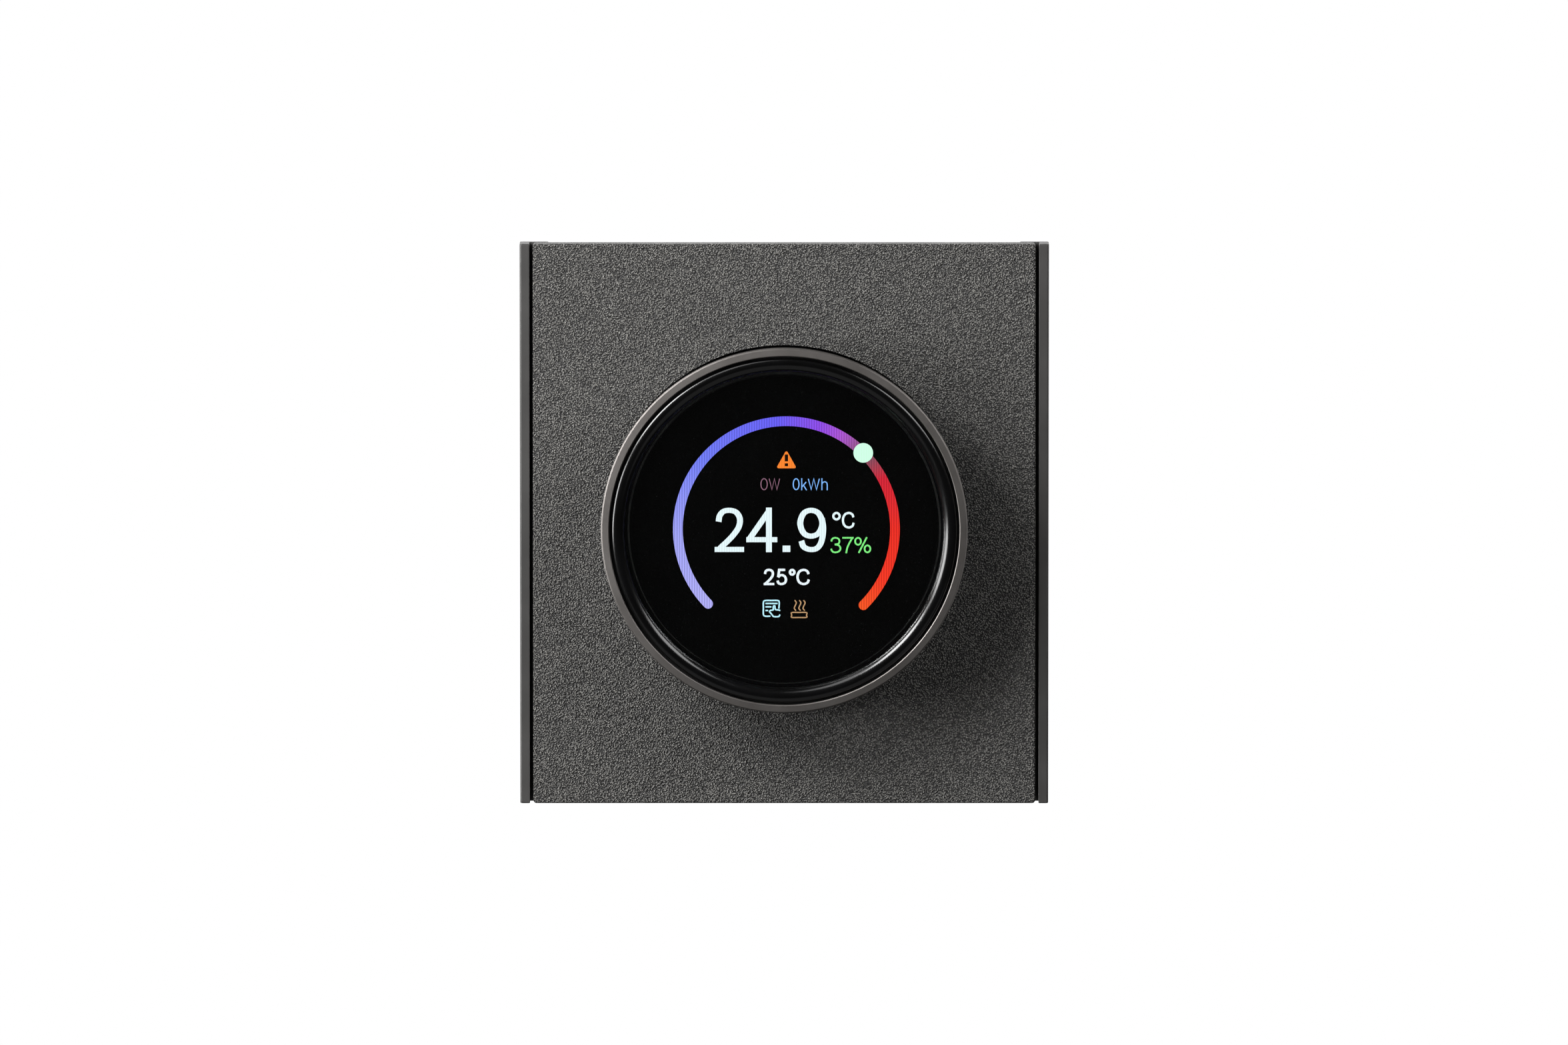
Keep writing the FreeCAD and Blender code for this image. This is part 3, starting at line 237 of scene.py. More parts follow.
def mottled(name, light, dark, roughness, grain=0.35, depth=0.004, cloud=6, direction=(1, 1, 1), vary=0.12,
            **socket):
    # One skin for mouldings, paints and metals: colour drifts in clouds, and a fine grain breaks up the
    # gloss. Grain, depth and cloud are in millimetres, direction stretches the grain, and vary is the share
    # by which roughness rises and falls with it.
    material, tree, shader, place = startMaterial(name)
    along = addNode(tree, "ShaderNodeMapping", {"Vector": place, "Scale": direction})
    skin = addNode(tree, "ShaderNodeTexNoise", {"Vector": along.outputs[0], "Scale": perMetre(grain),
                                                "Detail": 2})
    flow = addNode(tree, "ShaderNodeTexNoise", {"Vector": place, "Scale": perMetre(cloud), "Detail": 3})
    bump = addNode(tree, "ShaderNodeBump", {"Height": skin.outputs["Fac"], "Distance": depth / 1000})
    tree.links.new(bump.outputs["Normal"], shader.inputs["Normal"])
    tree.links.new(blendColours(tree, flow.outputs["Fac"], dark, light), shader.inputs["Base Color"])
    tree.links.new(spread(tree, skin.outputs["Fac"], roughness * (1 - vary), roughness * (1 + vary)),
                   shader.inputs["Roughness"])
    setShader(shader, **socket)
    return material


glassLook = {"tint": "fbfffd", "smear": 7, "roughness": (0.0, 0.02), "reflection": 0.12}


def coverGlass(name):
    # Hardened cover glass with an anti-reflection coating: clear and polished, so that the dark panel shows
    # through it, with the faintest smears.
    material, tree, shader, place = startMaterial(name)
    smear = addNode(tree, "ShaderNodeTexNoise", {"Vector": place, "Scale": perMetre(glassLook["smear"]),
                                                 "Detail": 2})
    tree.links.new(spread(tree, smear.outputs["Fac"], *glassLook["roughness"]), shader.inputs["Roughness"])
    setShader(shader, IOR=1.5, Transmission_Weight=1.0, Specular_IOR_Level=glassLook["reflection"],
              Base_Color=linear(glassLook["tint"]))
    return material


boardLook = {"area": 4, "step": 0.02, "edge": (0.35, 0.38)}


def solderMask(name, light, dark):
    # Circuit board under green mask: copper areas show paler, with straight edges between them.
    material, tree, shader, place = startMaterial(name)
    areas = addNode(tree, "ShaderNodeTexVoronoi", {"Vector": place, "Scale": perMetre(boardLook["area"])},
                    distance="CHEBYCHEV")
    tree.links.new(blendColours(tree, areas.outputs["Distance"], dark, light, *boardLook["edge"]),
                   shader.inputs["Base Color"])
    bump = addNode(tree, "ShaderNodeBump", {"Height": areas.outputs["Distance"],
                                            "Distance": boardLook["step"] / 1000})
    tree.links.new(bump.outputs["Normal"], shader.inputs["Normal"])
    setShader(shader, Roughness=0.3, IOR=1.5)
    return material


def litDots(name, hexColour=None, strength=1.12, stripe=0.12, pitch=0.38):
    # Lit dots of the display: colour with faint darker lines between the columns of dots.
    # Without a colour, the gauge's colours follow the bearing round the dial, atan2(x, z).
    # A wave's scale of pi / 10 gives one band per metre. Sockets 6 and 7 of the mix are its two colours, and
    # its output 2 is the mixed one.
    material, tree, shader, place = startMaterial(name)
    lines = addNode(tree, "ShaderNodeTexWave", {"Vector": place, "Scale": perMetre(pitch) * math.pi / 10},
                    bands_direction="X")
    dim = spread(tree, lines.outputs["Fac"], 1 - stripe, 1.0)
    colour = addNode(tree, "ShaderNodeMix", {"Factor": dim}, data_type="RGBA")
    colour.inputs[6].default_value = (0, 0, 0, 1)
    if hexColour:
        colour.inputs[7].default_value = linear(hexColour)
    else:
        centred = addNode(tree, "ShaderNodeMapping", {"Vector": place})
        centred.inputs["Location"].default_value = (-picture["x"] / 1000, 0, -picture["z"] / 1000)
        parts = addNode(tree, "ShaderNodeSeparateXYZ", {"Vector": centred.outputs[0]})
        bearing = addNode(tree, "ShaderNodeMath", {0: parts.outputs["X"], 1: parts.outputs["Z"]},
                          operation="ARCTAN2")
        share = addNode(tree, "ShaderNodeMapRange", {"Value": bearing.outputs[0], "From Min": -math.pi,
                                                     "From Max": math.pi})
        ramp = addNode(tree, "ShaderNodeValToRGB", {"Fac": share.outputs[0]})
        for index, (degrees, hexStop) in enumerate(gauge["colours"]):
            position = (degrees + 180) / 360
            stop = ramp.color_ramp.elements[index] if index < 2 else ramp.color_ramp.elements.new(position)
            stop.position, stop.color = position, linear(hexStop)
        tree.links.new(ramp.outputs["Color"], colour.inputs[7])
    tree.links.new(colour.outputs[2], shader.inputs["Emission Color"])
    setShader(shader, Base_Color=(0, 0, 0, 1), Roughness=0.6, Emission_Strength=strength,
              Specular_IOR_Level=0.0)
    return material


plate = {"hole": 27.45, "holeEdge": 0.12, "thick": 2.2, "rim": 1.2, "rimDepth": 3.0, "rimEdge": 0.1,
         "edge": 0.3, "corner": 0.5, "leastCorner": 0.02, "boss": 2.8, "bossX": 31.5, "bossZ": 34.5,
         "bossEdge": 0.15, "bossSunk": 0.2}


def makePlate(material):
    # Rows run from the hole's back, over the front face, round the edge and rim, and back to the hole.
    # The hole's rows are circles, (r sin a, y, r cos a) at the outline's own bearings; the others are
    # rounded rectangles drawn in by each inset. Four bosses stand on its back.
    halfX, halfZ = plateHigh[0], plateHigh[2]
    back, rimEnd = plateFront + plate["thick"], plateFront + plate["rimDepth"]
    hole = np.vstack([[[plate["hole"], back]],
                      corner((plate["hole"], back), (plate["hole"], plateFront), (halfX, plateFront),
                             plate["holeEdge"])])
    edge = np.vstack([corner((halfX, plateFront), (0, plateFront), (0, rimEnd), plate["edge"], steps=7),
                      corner((0, plateFront), (0, rimEnd), (plate["rim"], rimEnd), plate["rimEdge"]),
                      [[plate["rim"], rimEnd], [plate["rim"], back]]])
    full = roundedBox(halfX, halfZ, plate["corner"])
    angle = np.arctan2(full[:, 0], full[:, 1])
    rows = [np.stack([r * np.sin(angle), np.full_like(angle, y), r * np.cos(angle)], 1) for r, y in hole]
    for inset, y in edge:
        line = roundedBox(halfX - inset, halfZ - inset, max(plate["corner"] - inset, plate["leastCorner"]))
        rows.append(np.stack([line[:, 0], np.full(len(line), y), line[:, 1]], 1))
    parts = [wrapped(np.array(rows))]
    bossProfile = np.array([[plate["boss"], back - plate["bossSunk"]],
                            [plate["boss"], plateHigh[1] - plate["bossEdge"]],
                            [plate["boss"] - plate["bossEdge"], plateHigh[1]]])
    for x in (-1, 1):
        for z in (-1, 1):
            boss = turned(bossProfile, count=48) + np.array([x * plate["bossX"], 0, z * plate["bossZ"]])
            parts.append(wrapped(boss, "cap"))
    return addPiece("frontPlate", parts, "front_unit", material, ["front_plate"])


strip = {"width": 1.5, "depth": 3.1, "edge": 0.3, "inner": 0.08, "back": 0.1, "inside": 0.05, "end": 0.18,
         "endHold": 0.3}


def makeStrip(name, node, side, material):
    # An L-shaped section carried along Z; at both ends it draws in by a quarter round, e (1 - sin a) over a
    # length of e (1 - cos a).
    low, high = cadBox(node)
    outer, reach = (high[0], low[0]) if side > 0 else (low[0], high[0])
    inner = outer - side * strip["width"]
    step = plateFront + strip["depth"]
    section = [(inner, low[1]), (outer, low[1]), (outer, high[1]), (reach, high[1]), (reach, step),
               (inner, step)]
    inward = np.array([(side, 1), (-side, 1), (-side, -1), (side, -1), (side, 1), (side, 1)], float)
    radii = [strip["inner"], strip["edge"]] + [strip["back"]] * 3 + [strip["inside"]]
    turn = np.linspace(0, math.pi / 2, 5)
    draw = np.concatenate([strip["end"] * (1 - np.sin(turn)), [0, 0], strip["end"] * (1 - np.cos(turn))])
    place = np.concatenate([low[2] + strip["end"] * (1 - np.cos(turn)),
                            [low[2] + strip["endHold"], high[2] - strip["endHold"]],
                            high[2] - strip["end"] * (1 - np.sin(turn))])
    rows = []
    for inset, z in zip(draw, place):
        line = softOutline(np.array(section) + inward * inset, radii)
        rows.append(np.column_stack([line, np.full(len(line), z)]))
    return addPiece(name, [wrapped(np.array(rows), "cap")], "front_unit", material, [node])


def fromFront(profile):
    # (radius, depth behind the knob's front) as (radius, y).
    profile = np.asarray(profile, float)
    return np.column_stack([profile[:, 0], knobFront + profile[:, 1]])


ring = {"inner": 26.7, "outer": 27.95, "chamfer": 0.2, "innerChamfer": 0.12, "crown": 0.12, "depth": 1.4,
        "ribInner": 27.2, "ribOuter": 27.5, "rib": 0.4, "edge": 0.05, "footEdge": 0.08, "ribEdge": 0.03}


def makeRing(material):
    # A ring section, chamfered at the front and with a rib behind, turned round the Y axis.
    r = ring
    outline = [(r["inner"], r["depth"]), (r["inner"], r["innerChamfer"]), (r["inner"] + r["innerChamfer"], 0),
               (r["outer"] - r["chamfer"], r["crown"]), (r["outer"], r["crown"] + r["chamfer"]),
               (r["outer"], r["depth"]), (r["ribOuter"], r["depth"]), (r["ribOuter"], r["depth"] + r["rib"]),
               (r["ribInner"], r["depth"] + r["rib"]), (r["ribInner"], r["depth"])]
    radii = [r["edge"]] * 5 + [r["footEdge"]] + [r["ribEdge"]] * 4
    profile = softOutline(fromFront(outline), radii, steps=4, hold=0.015)
    return addPiece("knobRing", [wrapped(turned(profile, count=384))], "ring", material,
                    ["knob_ring"])


skirt = {"flange": 27.75, "flangeDepth": 1.0, "outer": 27.1, "inner": 25.95, "end": 11.4, "lip": 25.35,
         "lipStart": 9.2, "lipEnd": 9.7, "edge": 0.1, "lipEdge": 0.05, "notches": 30, "notchRadius": 0.8,
         "notchDepth": 0.2, "notchStart": 7.2, "notchEnd": 9.0, "notchStep": 0.02}


def notched(profile, angle):
    # Depth of the click notches: c cos a + sqrt(r^2 - c^2 sin^2 a), less the wall's radius, where above 0.
    # It counts for the points of the wall between the notches' start and end.
    s = skirt
    spacing = 2 * math.pi / s["notches"]
    off = (angle - math.pi / 2 + spacing / 2) % spacing - spacing / 2
    centre = s["inner"] + s["notchDepth"] - s["notchRadius"]
    inside = np.maximum(s["notchRadius"] ** 2 - (centre * np.sin(off)) ** 2, 0)
    depth = np.maximum(centre * np.cos(off) + np.sqrt(inside) - s["inner"], 0)
    behind = profile[:, 1:2] - knobFront
    onWall = np.isclose(profile[:, :1], s["inner"], rtol=0, atol=0.001)
    held = onWall & (behind > s["notchStart"]) & (behind < s["notchEnd"])
    return held * depth


def makeSkirt(material):
    # The knob's inner tube turned round the Y axis: a flange under the ring, a groove for the ring's rib, and
    # a lip behind the click notches.
    s, r = skirt, ring
    outline = [(s["inner"], r["depth"]), (r["ribInner"], r["depth"]), (r["ribInner"], r["depth"] + r["rib"]),
               (r["ribOuter"], r["depth"] + r["rib"]), (r["ribOuter"], r["depth"]), (s["flange"], r["depth"]),
               (s["flange"], r["depth"] + s["flangeDepth"]), (s["outer"], r["depth"] + s["flangeDepth"]),
               (s["outer"], s["end"]), (s["inner"], s["end"]), (s["inner"], s["lipEnd"]),
               (s["lip"], s["lipEnd"]), (s["lip"], s["lipStart"]), (s["inner"], s["lipStart"])]
    radii = [s["edge"]] + [r["ribEdge"]] * 4 + [s["edge"]] * 5 + [s["lipEdge"]] * 4
    wall = [(s["inner"], s["notchEnd"]), (s["inner"], s["notchEnd"] - s["notchStep"]),
            (s["inner"], s["notchStart"] + s["notchStep"]), (s["inner"], s["notchStart"])]
    profile = np.vstack([softOutline(fromFront(outline), radii, steps=2, hold=0.02), fromFront(wall)])
    return addPiece("knobSkirt", [wrapped(turned(profile, count=960, ripple=notched))], "ring",
                    material, ["knob_skirt"])


spring = {"coil": 4.1, "wire": 0.3, "turns": 4, "perTurn": 48, "around": 12, "place": 18.0, "count": 3,
          "travel": 0.5}


def makeSprings(material):
    # A wire wound round each push post: middle (r cos t, y, -r sin t), with a round section about it.
    w = spring
    low, high = cadBox("return_springs")
    turn = np.linspace(0, 2 * math.pi * w["turns"], w["perTurn"] * w["turns"] + 1)
    outward = np.column_stack([np.cos(turn), np.zeros(len(turn)), -np.sin(turn)])
    rise = np.linspace(low[1] + w["wire"], high[1] - w["wire"], len(turn))
    climb = np.column_stack([np.zeros(len(turn)), rise, np.zeros(len(turn))])
    around = np.linspace(0, 2 * math.pi, w["around"], endpoint=False)[None, :, None]
    section = w["wire"] * (np.cos(around) * outward[:, None] + np.sin(around) * np.array([0, 1, 0]))
    parts = []
    for bearing in math.pi / 2 + np.arange(w["count"]) * 2 * math.pi / w["count"]:
        post = w["place"] * np.array([math.cos(bearing), 0, math.sin(bearing)])
        parts.append(wrapped((post + outward * w["coil"] + climb)[:, None] + section, "cap"))
    piece = addPiece("returnSprings", parts, "knob", material, ["return_springs"])
    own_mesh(piece)
    return piece


bezel = {"window": 24.2, "windowDepth": 1.9, "crest": 25.55, "tilt": 76, "wallGap": 0.05, "outer": 26.33,
         "outerDepth": 0.45, "step": 1.1, "bearing": 25.89, "back": 3.0, "seat": 24.6, "arcSteps": 24,
         "outerSteps": 14}


def makeBezel(material):
    # A rounded bead: an arc from the window's wall up to the crest, x = c - r sin a and y = r (1 - cos a),
    # and a quarter ellipse down to the outside.
    b = bezel
    tilt = math.radians(b["tilt"])
    turn = np.linspace(tilt, 0, b["arcSteps"] + 1)
    arcRadius = (b["crest"] - b["window"]) / math.sin(tilt)
    wallTop = arcRadius * (1 - math.cos(tilt)) + b["wallGap"]
    arc = np.column_stack([b["crest"] - arcRadius * np.sin(turn), arcRadius * (1 - np.cos(turn))])
    inner = np.vstack([[[b["window"], b["windowDepth"]], [b["window"], wallTop]], arc])
    turn = np.linspace(math.pi / 2, 0, b["outerSteps"] + 1)[1:]
    outer = np.column_stack([b["outer"] + (b["crest"] - b["outer"]) * (1 - np.cos(turn)),
                             b["outerDepth"] * (1 - np.sin(turn))])
    rest = [(b["outer"], b["step"]), (b["bearing"], b["step"]), (b["bearing"], b["back"]),
            (b["seat"], b["back"]), (b["seat"], b["windowDepth"])]
    profile = fromFront(np.vstack([inner, outer, rest]))
    return addPiece("displayBezel", [wrapped(turned(profile, count=384))], "knob", material,
                    ["display_bezel"])


discEdge = 0.12


def makeDisc(name, node, material):
    # A flat disc with a small round on both edges, turned round the Y axis.
    low, high = cadBox(node)
    radius = high[0]
    side = np.vstack([corner((0, low[1]), (radius, low[1]), (radius, high[1]), discEdge),
                      corner((radius, low[1]), (radius, high[1]), (0, high[1]), discEdge)])
    return addPiece(name, [wrapped(turned(side, count=288), "cap")], "knob", material, [node])


fasteners = {
    "lidScrews": {"node": "lid_screws", "body": "power_unit", "facing": -1, "head": 1.9, "depth": 0.6,
                  "shank": 1.0},
    "coverScrews": {"node": "cover_screws", "body": "front_unit", "facing": 1, "head": 1.8, "depth": 1.0,
                    "shank": 0.9},
    "yokeRivets": {"node": "yoke_rivets", "body": "power_unit", "facing": -1, "head": 2.3, "depth": 0.7,
                   "shank": 1.4, "domed": True},
}
fastenerShape = {"rows": 24, "count": 96, "edge": 0.15, "flatEnd": 0.3, "pole": 0.02,
                 "poleAngle": 0.01, "tip": 0.2}
drive = {"half": 0.2, "sideFade": 0.08, "arm": 0.95, "endFade": 0.2, "sunk": 0.45, "firstTurn": 0.3,
         "turn": 0.6}


def crossSink(x, z):
    # Depth of a cross-shaped drive: full inside half a slot's width and an arm's length, and falling to
    # nothing over a fade about each of them. The deeper of the two arms counts.
    def arm(across, along):
        return (np.clip((drive["half"] - abs(across)) / drive["sideFade"] + 0.5, 0, 1)
                * np.clip((drive["arm"] - abs(along)) / drive["endFade"] + 0.5, 0, 1))
    return drive["sunk"] * np.maximum(arm(x, z), arm(z, x))


def makeFasteners(name, material):
    # Four alike, at the corners of the node's box: a profile of (radius, depth from the top) turned round,
    # with a dome (R sin a, d (1 - cos a)), or a flat head in which the cross drive is sunk.
    w, f = fasteners[name], fastenerShape
    rows = f["rows"]
    low, high = cadBox(w["node"])
    top, inward = (low[1], 1) if w["facing"] < 0 else (high[1], -1)
    length = high[1] - low[1]
    if w.get("domed"):
        turn = np.linspace(f["poleAngle"], math.pi / 2, rows)
        head = np.column_stack([w["head"] * np.sin(turn), w["depth"] * (1 - np.cos(turn))])
    else:
        flat = np.linspace(f["pole"], w["head"] - f["flatEnd"], rows)
        head = np.vstack([np.column_stack([flat, np.zeros(rows)]),
                          corner((0, 0), (w["head"], 0), (w["head"], w["depth"]), f["edge"]),
                          [[w["head"], w["depth"]]]])
    tip = f["pole"] if w.get("domed") else f["tip"]
    shank = [[w["shank"], w["depth"]], [w["shank"], length - tip], [w["shank"] - tip, length]]
    grid = turned(np.vstack([head, shank]), f["count"])
    parts = []
    for index, (x, z) in enumerate(((1, 1), (1, -1), (-1, -1), (-1, 1))):
        placed = grid.copy()
        if not w.get("domed"):
            way = drive["turn"] * index + drive["firstTurn"]
            headX, headZ = grid[:rows, :, 0], grid[:rows, :, 2]
            placed[:rows, :, 1] += crossSink(headX * math.cos(way) + headZ * math.sin(way),
                                             headZ * math.cos(way) - headX * math.sin(way))
        placed[..., 0] += x * (high[0] - w["head"])
        placed[..., 1] = top + inward * placed[..., 1]
        placed[..., 2] += z * (high[2] - w["head"])
        parts.append(wrapped(placed, "cap"))
    return addPiece(name, parts, w["body"], material, [w["node"]])


# A figure's stroke is given by its middle line in a box one wide and one high, and placed in millimetres
# from the picture's middle. The rear of every stroke stands a gap before the panel.
picture = {"x": 0.33, "z": 0.0, "gap": 0.02, "thick": 0.04}
glyphs = {
    "0": [("loop", [(0.5, 1), (0.86, 0.86), (1, 0.5), (0.86, 0.14), (0.5, 0), (0.14, 0.14), (0, 0.5),
                    (0.14, 0.86)])],
    "2": [("curve", [(0.03, 0.71), (0.08, 0.86), (0.24, 0.97), (0.5, 1), (0.77, 0.96), (0.93, 0.84),
                     (0.96, 0.7), (0.88, 0.54), (0.66, 0.36), (0.4, 0.2), (0.16, 0.07), (0.06, 0)]),
          ("line", [(-0.14, 0), (1.14, 0)])],
    "3": [("curve", [(0.03, 0.75), (0.12, 0.92), (0.42, 1), (0.77, 0.94), (0.9, 0.77), (0.78, 0.6),
                     (0.4, 0.54)]),
          ("curve", [(0.4, 0.54), (0.82, 0.48), (1, 0.28), (0.86, 0.08), (0.46, 0), (0.13, 0.07),
                     (0, 0.25)])],
    "4": [("line", [(0.8, -0.07), (0.8, 1.07)]), ("line", [(0.8, 0.98), (0.0, 0.26)]),
          ("line", [(-0.12, 0.25), (1.14, 0.25)])],
    "5": [("line", [(0.9, 1), (0.2, 1), (0.08, 0.48)]),
          ("curve", [(0.08, 0.48), (0.28, 0.6), (0.56, 0.63), (0.86, 0.53), (1, 0.32), (0.88, 0.1), (0.5, 0),
                     (0.14, 0.06), (0, 0.24)])],
    "7": [("line", [(-0.12, 1), (1.12, 1)]), ("curve", [(1, 1), (0.66, 0.64), (0.42, 0.3), (0.3, -0.06)])],
    "9": [("loop", [(0.47, 1), (0.8, 0.92), (0.96, 0.67), (0.8, 0.42), (0.47, 0.34), (0.15, 0.42), (0, 0.67),
                    (0.15, 0.92)]),
          ("curve", [(0.94, 0.8), (1, 0.52), (0.92, 0.2), (0.72, 0.03), (0.42, 0), (0.15, 0.07),
                     (0.05, 0.22)])],
    "%": [("loop", [(0.19, 1), (0.33, 0.92), (0.38, 0.76), (0.33, 0.6), (0.19, 0.52), (0.05, 0.6), (0, 0.76),
                    (0.05, 0.92)]),
          ("loop", [(0.81, 0.48), (0.95, 0.4), (1, 0.24), (0.95, 0.08), (0.81, 0), (0.67, 0.08), (0.62, 0.24),
                    (0.67, 0.4)]),
          ("line", [(0.77, 1.04), (0.23, -0.04)])],
    "W": [("line", [(0, 1), (0.26, 0), (0.5, 1), (0.74, 0), (1, 1)])],
    "k": [("line", [(0, 1.05), (0, -0.05)]), ("line", [(0.92, 0.7), (0.02, 0.24)]),
          ("line", [(0.36, 0.42), (1, -0.05)])],
    "h": [("line", [(0, 1.05), (0, -0.05)]),
          ("curve", [(0, 0.5), (0.2, 0.66), (0.56, 0.72), (0.9, 0.63), (1, 0.42), (1, 0.2), (1, -0.05)])],
    "C": [("curve", [(0.98, 0.7), (0.86, 0.9), (0.54, 1), (0.16, 0.87), (0, 0.5), (0.16, 0.13), (0.54, 0),
                     (0.88, 0.1), (1, 0.32)])],
    "o": [("loop", [(0.5, 1), (0.85, 0.85), (1, 0.5), (0.85, 0.15), (0.5, 0), (0.15, 0.15), (0, 0.5),
                    (0.15, 0.85)])],
}


def smoothed(points, closed, steps=8):
    # Catmull-Rom curve through the points: between b and c it is half of 2b + (c - a) t
    # + (2a - 5b + 4c - d) t^2 + (3b - a - 3c + d) t^3.
    points = np.asarray(points, float)
    if closed:
        padded = np.vstack([points[-1:], points, points[:2]])
    else:
        padded = np.vstack([2 * points[0] - points[1], points, 2 * points[-1] - points[-2]])
    a, b, c, d = (padded[i:len(padded) - 3 + i, None] for i in range(4))
    t = np.linspace(0, 1, steps, endpoint=False)[None, :, None]
    curve = 0.5 * (2 * b + (c - a) * t + (2 * a - 5 * b + 4 * c - d) * t ** 2
                   + (3 * b - a - 3 * c + d) * t ** 3)
    curve = curve.reshape(-1, 2)
    return curve if closed else np.vstack([curve, points[-1:]])


def ribbon(path, across, up, closed=False, halves=None):
    # A flat stroke: the path moved left and right by half the stroke, which is across wide where
    # the path climbs and up wide where it runs level, with a little thickness.
    path = np.asarray(path, float)
    if closed:
        ahead, back = np.roll(path, -1, 0) - path, path - np.roll(path, 1, 0)
    else:
        run = np.diff(path, axis=0)
        ahead, back = np.vstack([run, run[-1:]]), np.vstack([run[:1], run])
    ahead /= np.linalg.norm(ahead, axis=1)[:, None]
    back /= np.linalg.norm(back, axis=1)[:, None]
    along = (ahead + back) / np.linalg.norm(ahead + back, axis=1)[:, None]
    mitre = 1 / np.clip((along * ahead).sum(1), 0.5, 1)
    half = np.hypot(across * ahead[:, 1], up * ahead[:, 0]) / 2 if halves is None else halves
    sideways = np.column_stack([along[:, 1], -along[:, 0]]) * (half * mitre)[:, None]
    rear = panelFront - picture["gap"]
    front = rear - picture["thick"]
    corners = []
    for sign, y in ((1, front), (-1, front), (-1, rear), (1, rear)):
        side = path + sign * sideways
        corners.append(np.column_stack([side[:, 0] + picture["x"], np.full(len(side), y),
                                        side[:, 1] + picture["z"]]))
    return wrapped(np.stack(corners, 1), "join" if closed else "cap")


def written(figures, across, up):
    # Strokes of a row of figures, each set into its own box (left, right, bottom, top).
    parts = []
    for glyph, (left, right, bottom, top) in figures:
        size = np.array([right - left - across, top - bottom - up])
        start = np.array([left + across / 2, bottom + up / 2])
        for kind, points in glyphs[glyph]:
            path = np.asarray(points, float) * size + start
            if kind != "line":
                path = smoothed(path, kind == "loop")
            parts.append(ribbon(path, across, up, kind == "loop"))
    return parts


# Each reading: colour, stroke's width across and up, and its figures in (left, right, bottom, top).
readings = {
    "roomReading": ("ebfaff", 0.9, 0.78, [
        ("2", (-10.9, -6.5, -3.5, 3.28)), ("4", (-6.12, -1.47, -3.5, 3.28)),
        ("9", (1.65, 6.06, -3.5, 3.28))]),
    "roomUnit": ("ebfaff", 0.34, 0.34, [
        ("o", (6.98, 8.28, 1.33, 2.66)), ("C", (8.44, 10.42, 0.09, 2.66))]),
    "humidityReading": ("82ee82", 0.26, 0.25, [
        ("3", (6.68, 8.36, -3.68, -1.2)), ("7", (8.56, 10.2, -3.68, -1.2)),
        ("%", (10.35, 12.92, -3.68, -1.2))]),
    "targetReading": ("f0f8ff", 0.38, 0.35, [
        ("2", (-3.49, -1.83, -8.59, -6.07)), ("5", (-1.55, 0.12, -8.59, -6.07)),
        ("o", (0.35, 1.4, -7.15, -6.07)), ("C", (1.5, 3.6, -8.59, -6.07))]),
    "powerReading": ("8c6478", 0.15, 0.14, [
        ("0", (-3.96, -2.85, 5.98, 7.81)), ("W", (-2.7, -0.96, 5.98, 7.81))]),
    "energyReading": ("82b9ff", 0.17, 0.16, [
        ("0", (0.96, 2.0, 5.98, 7.81)), ("k", (2.25, 3.15, 5.98, 7.81)), ("W", (3.25, 5.1, 5.98, 7.81)),
        ("h", (5.32, 6.3, 5.98, 7.81))]),
}
decimalPoint = {"x": 0.01, "bottom": -3.5, "top": -2.52, "width": 1.17}
gauge = {"radius": 16.55, "width": 1.48, "start": -133.8, "end": 134.8, "steps": 240, "endSteps": 12,
         "endGap": 0.05, "leastHalf": 0.02, "dot": 1.5, "dotAngle": 45.0, "dotCount": 48, "dotThick": 0.02,
         "dotStand": 1.2,
         "colours": [(-136, "b9b4ff"), (-95, "aaaaff"), (-50, "7882ff"), (-5, "6e64ff"), (18, "9650f0"),
                     (30, "b45adc"), (40, "a05a96"), (50, "8c5064"), (62, "dc283c"), (90, "f53228"),
                     (118, "ff3c28"), (137, "ff5a28")]}


def makeReading(name, hexColour, across, up, figures):
    # A reading's figures as strokes. The room reading has its decimal point too, a square.
    parts = written(figures, across, up)
    if name == "roomReading":
        d = decimalPoint
        parts.append(ribbon([(d["x"], d["bottom"]), (d["x"], d["top"])], d["width"], d["width"]))
    return addPiece(name, parts, "knob", litDots("display light, " + name, hexColour))


def makeGauge():
    # An arc (r sin a, r cos a) whose two ends are half circles: the half width there is sqrt(h^2 - s^2).
    # The dot that marks the setting stands just before it.
    g = gauge
    half = g["width"] / 2
    reach = math.degrees(half / g["radius"])
    over = reach * (1 - np.cos(np.linspace(0, math.pi / 2, g["endSteps"])))[:-1]
    angle = np.concatenate([g["start"] - reach + over + g["endGap"],
                            np.linspace(g["start"], g["end"], g["steps"]),
                            (g["end"] + reach - over - g["endGap"])[::-1]])
    past = np.maximum(np.maximum(g["start"] - angle, angle - g["end"]), 0) / reach * half
    halves = np.sqrt(np.maximum(half ** 2 - past ** 2, g["leastHalf"] ** 2))
    turn = np.radians(angle)
    path = np.column_stack([g["radius"] * np.sin(turn), g["radius"] * np.cos(turn)])
    addPiece("gaugeArc", [ribbon(path, 1, 1, halves=halves)], "knob",
             litDots("display light, gauge colours", stripe=0.3))
    turn = np.linspace(0, 2 * math.pi, g["dotCount"], endpoint=False)
    rear = panelFront - picture["gap"] - picture["thick"] * g["dotStand"]
    bearingDot = math.radians(g["dotAngle"])
    middle = np.array([picture["x"] + g["radius"] * math.sin(bearingDot), rear,
                       picture["z"] + g["radius"] * math.cos(bearingDot)])
    circle = middle + g["dot"] * np.column_stack([np.sin(turn), np.zeros(len(turn)), np.cos(turn)])
    grid = np.stack([circle, circle - [0, g["dotThick"], 0]])
    addPiece("gaugeDot", [wrapped(grid, "cap")], "knob",
             litDots("display light, mint", "d2ffe6", strength=1.15, stripe=0.06))


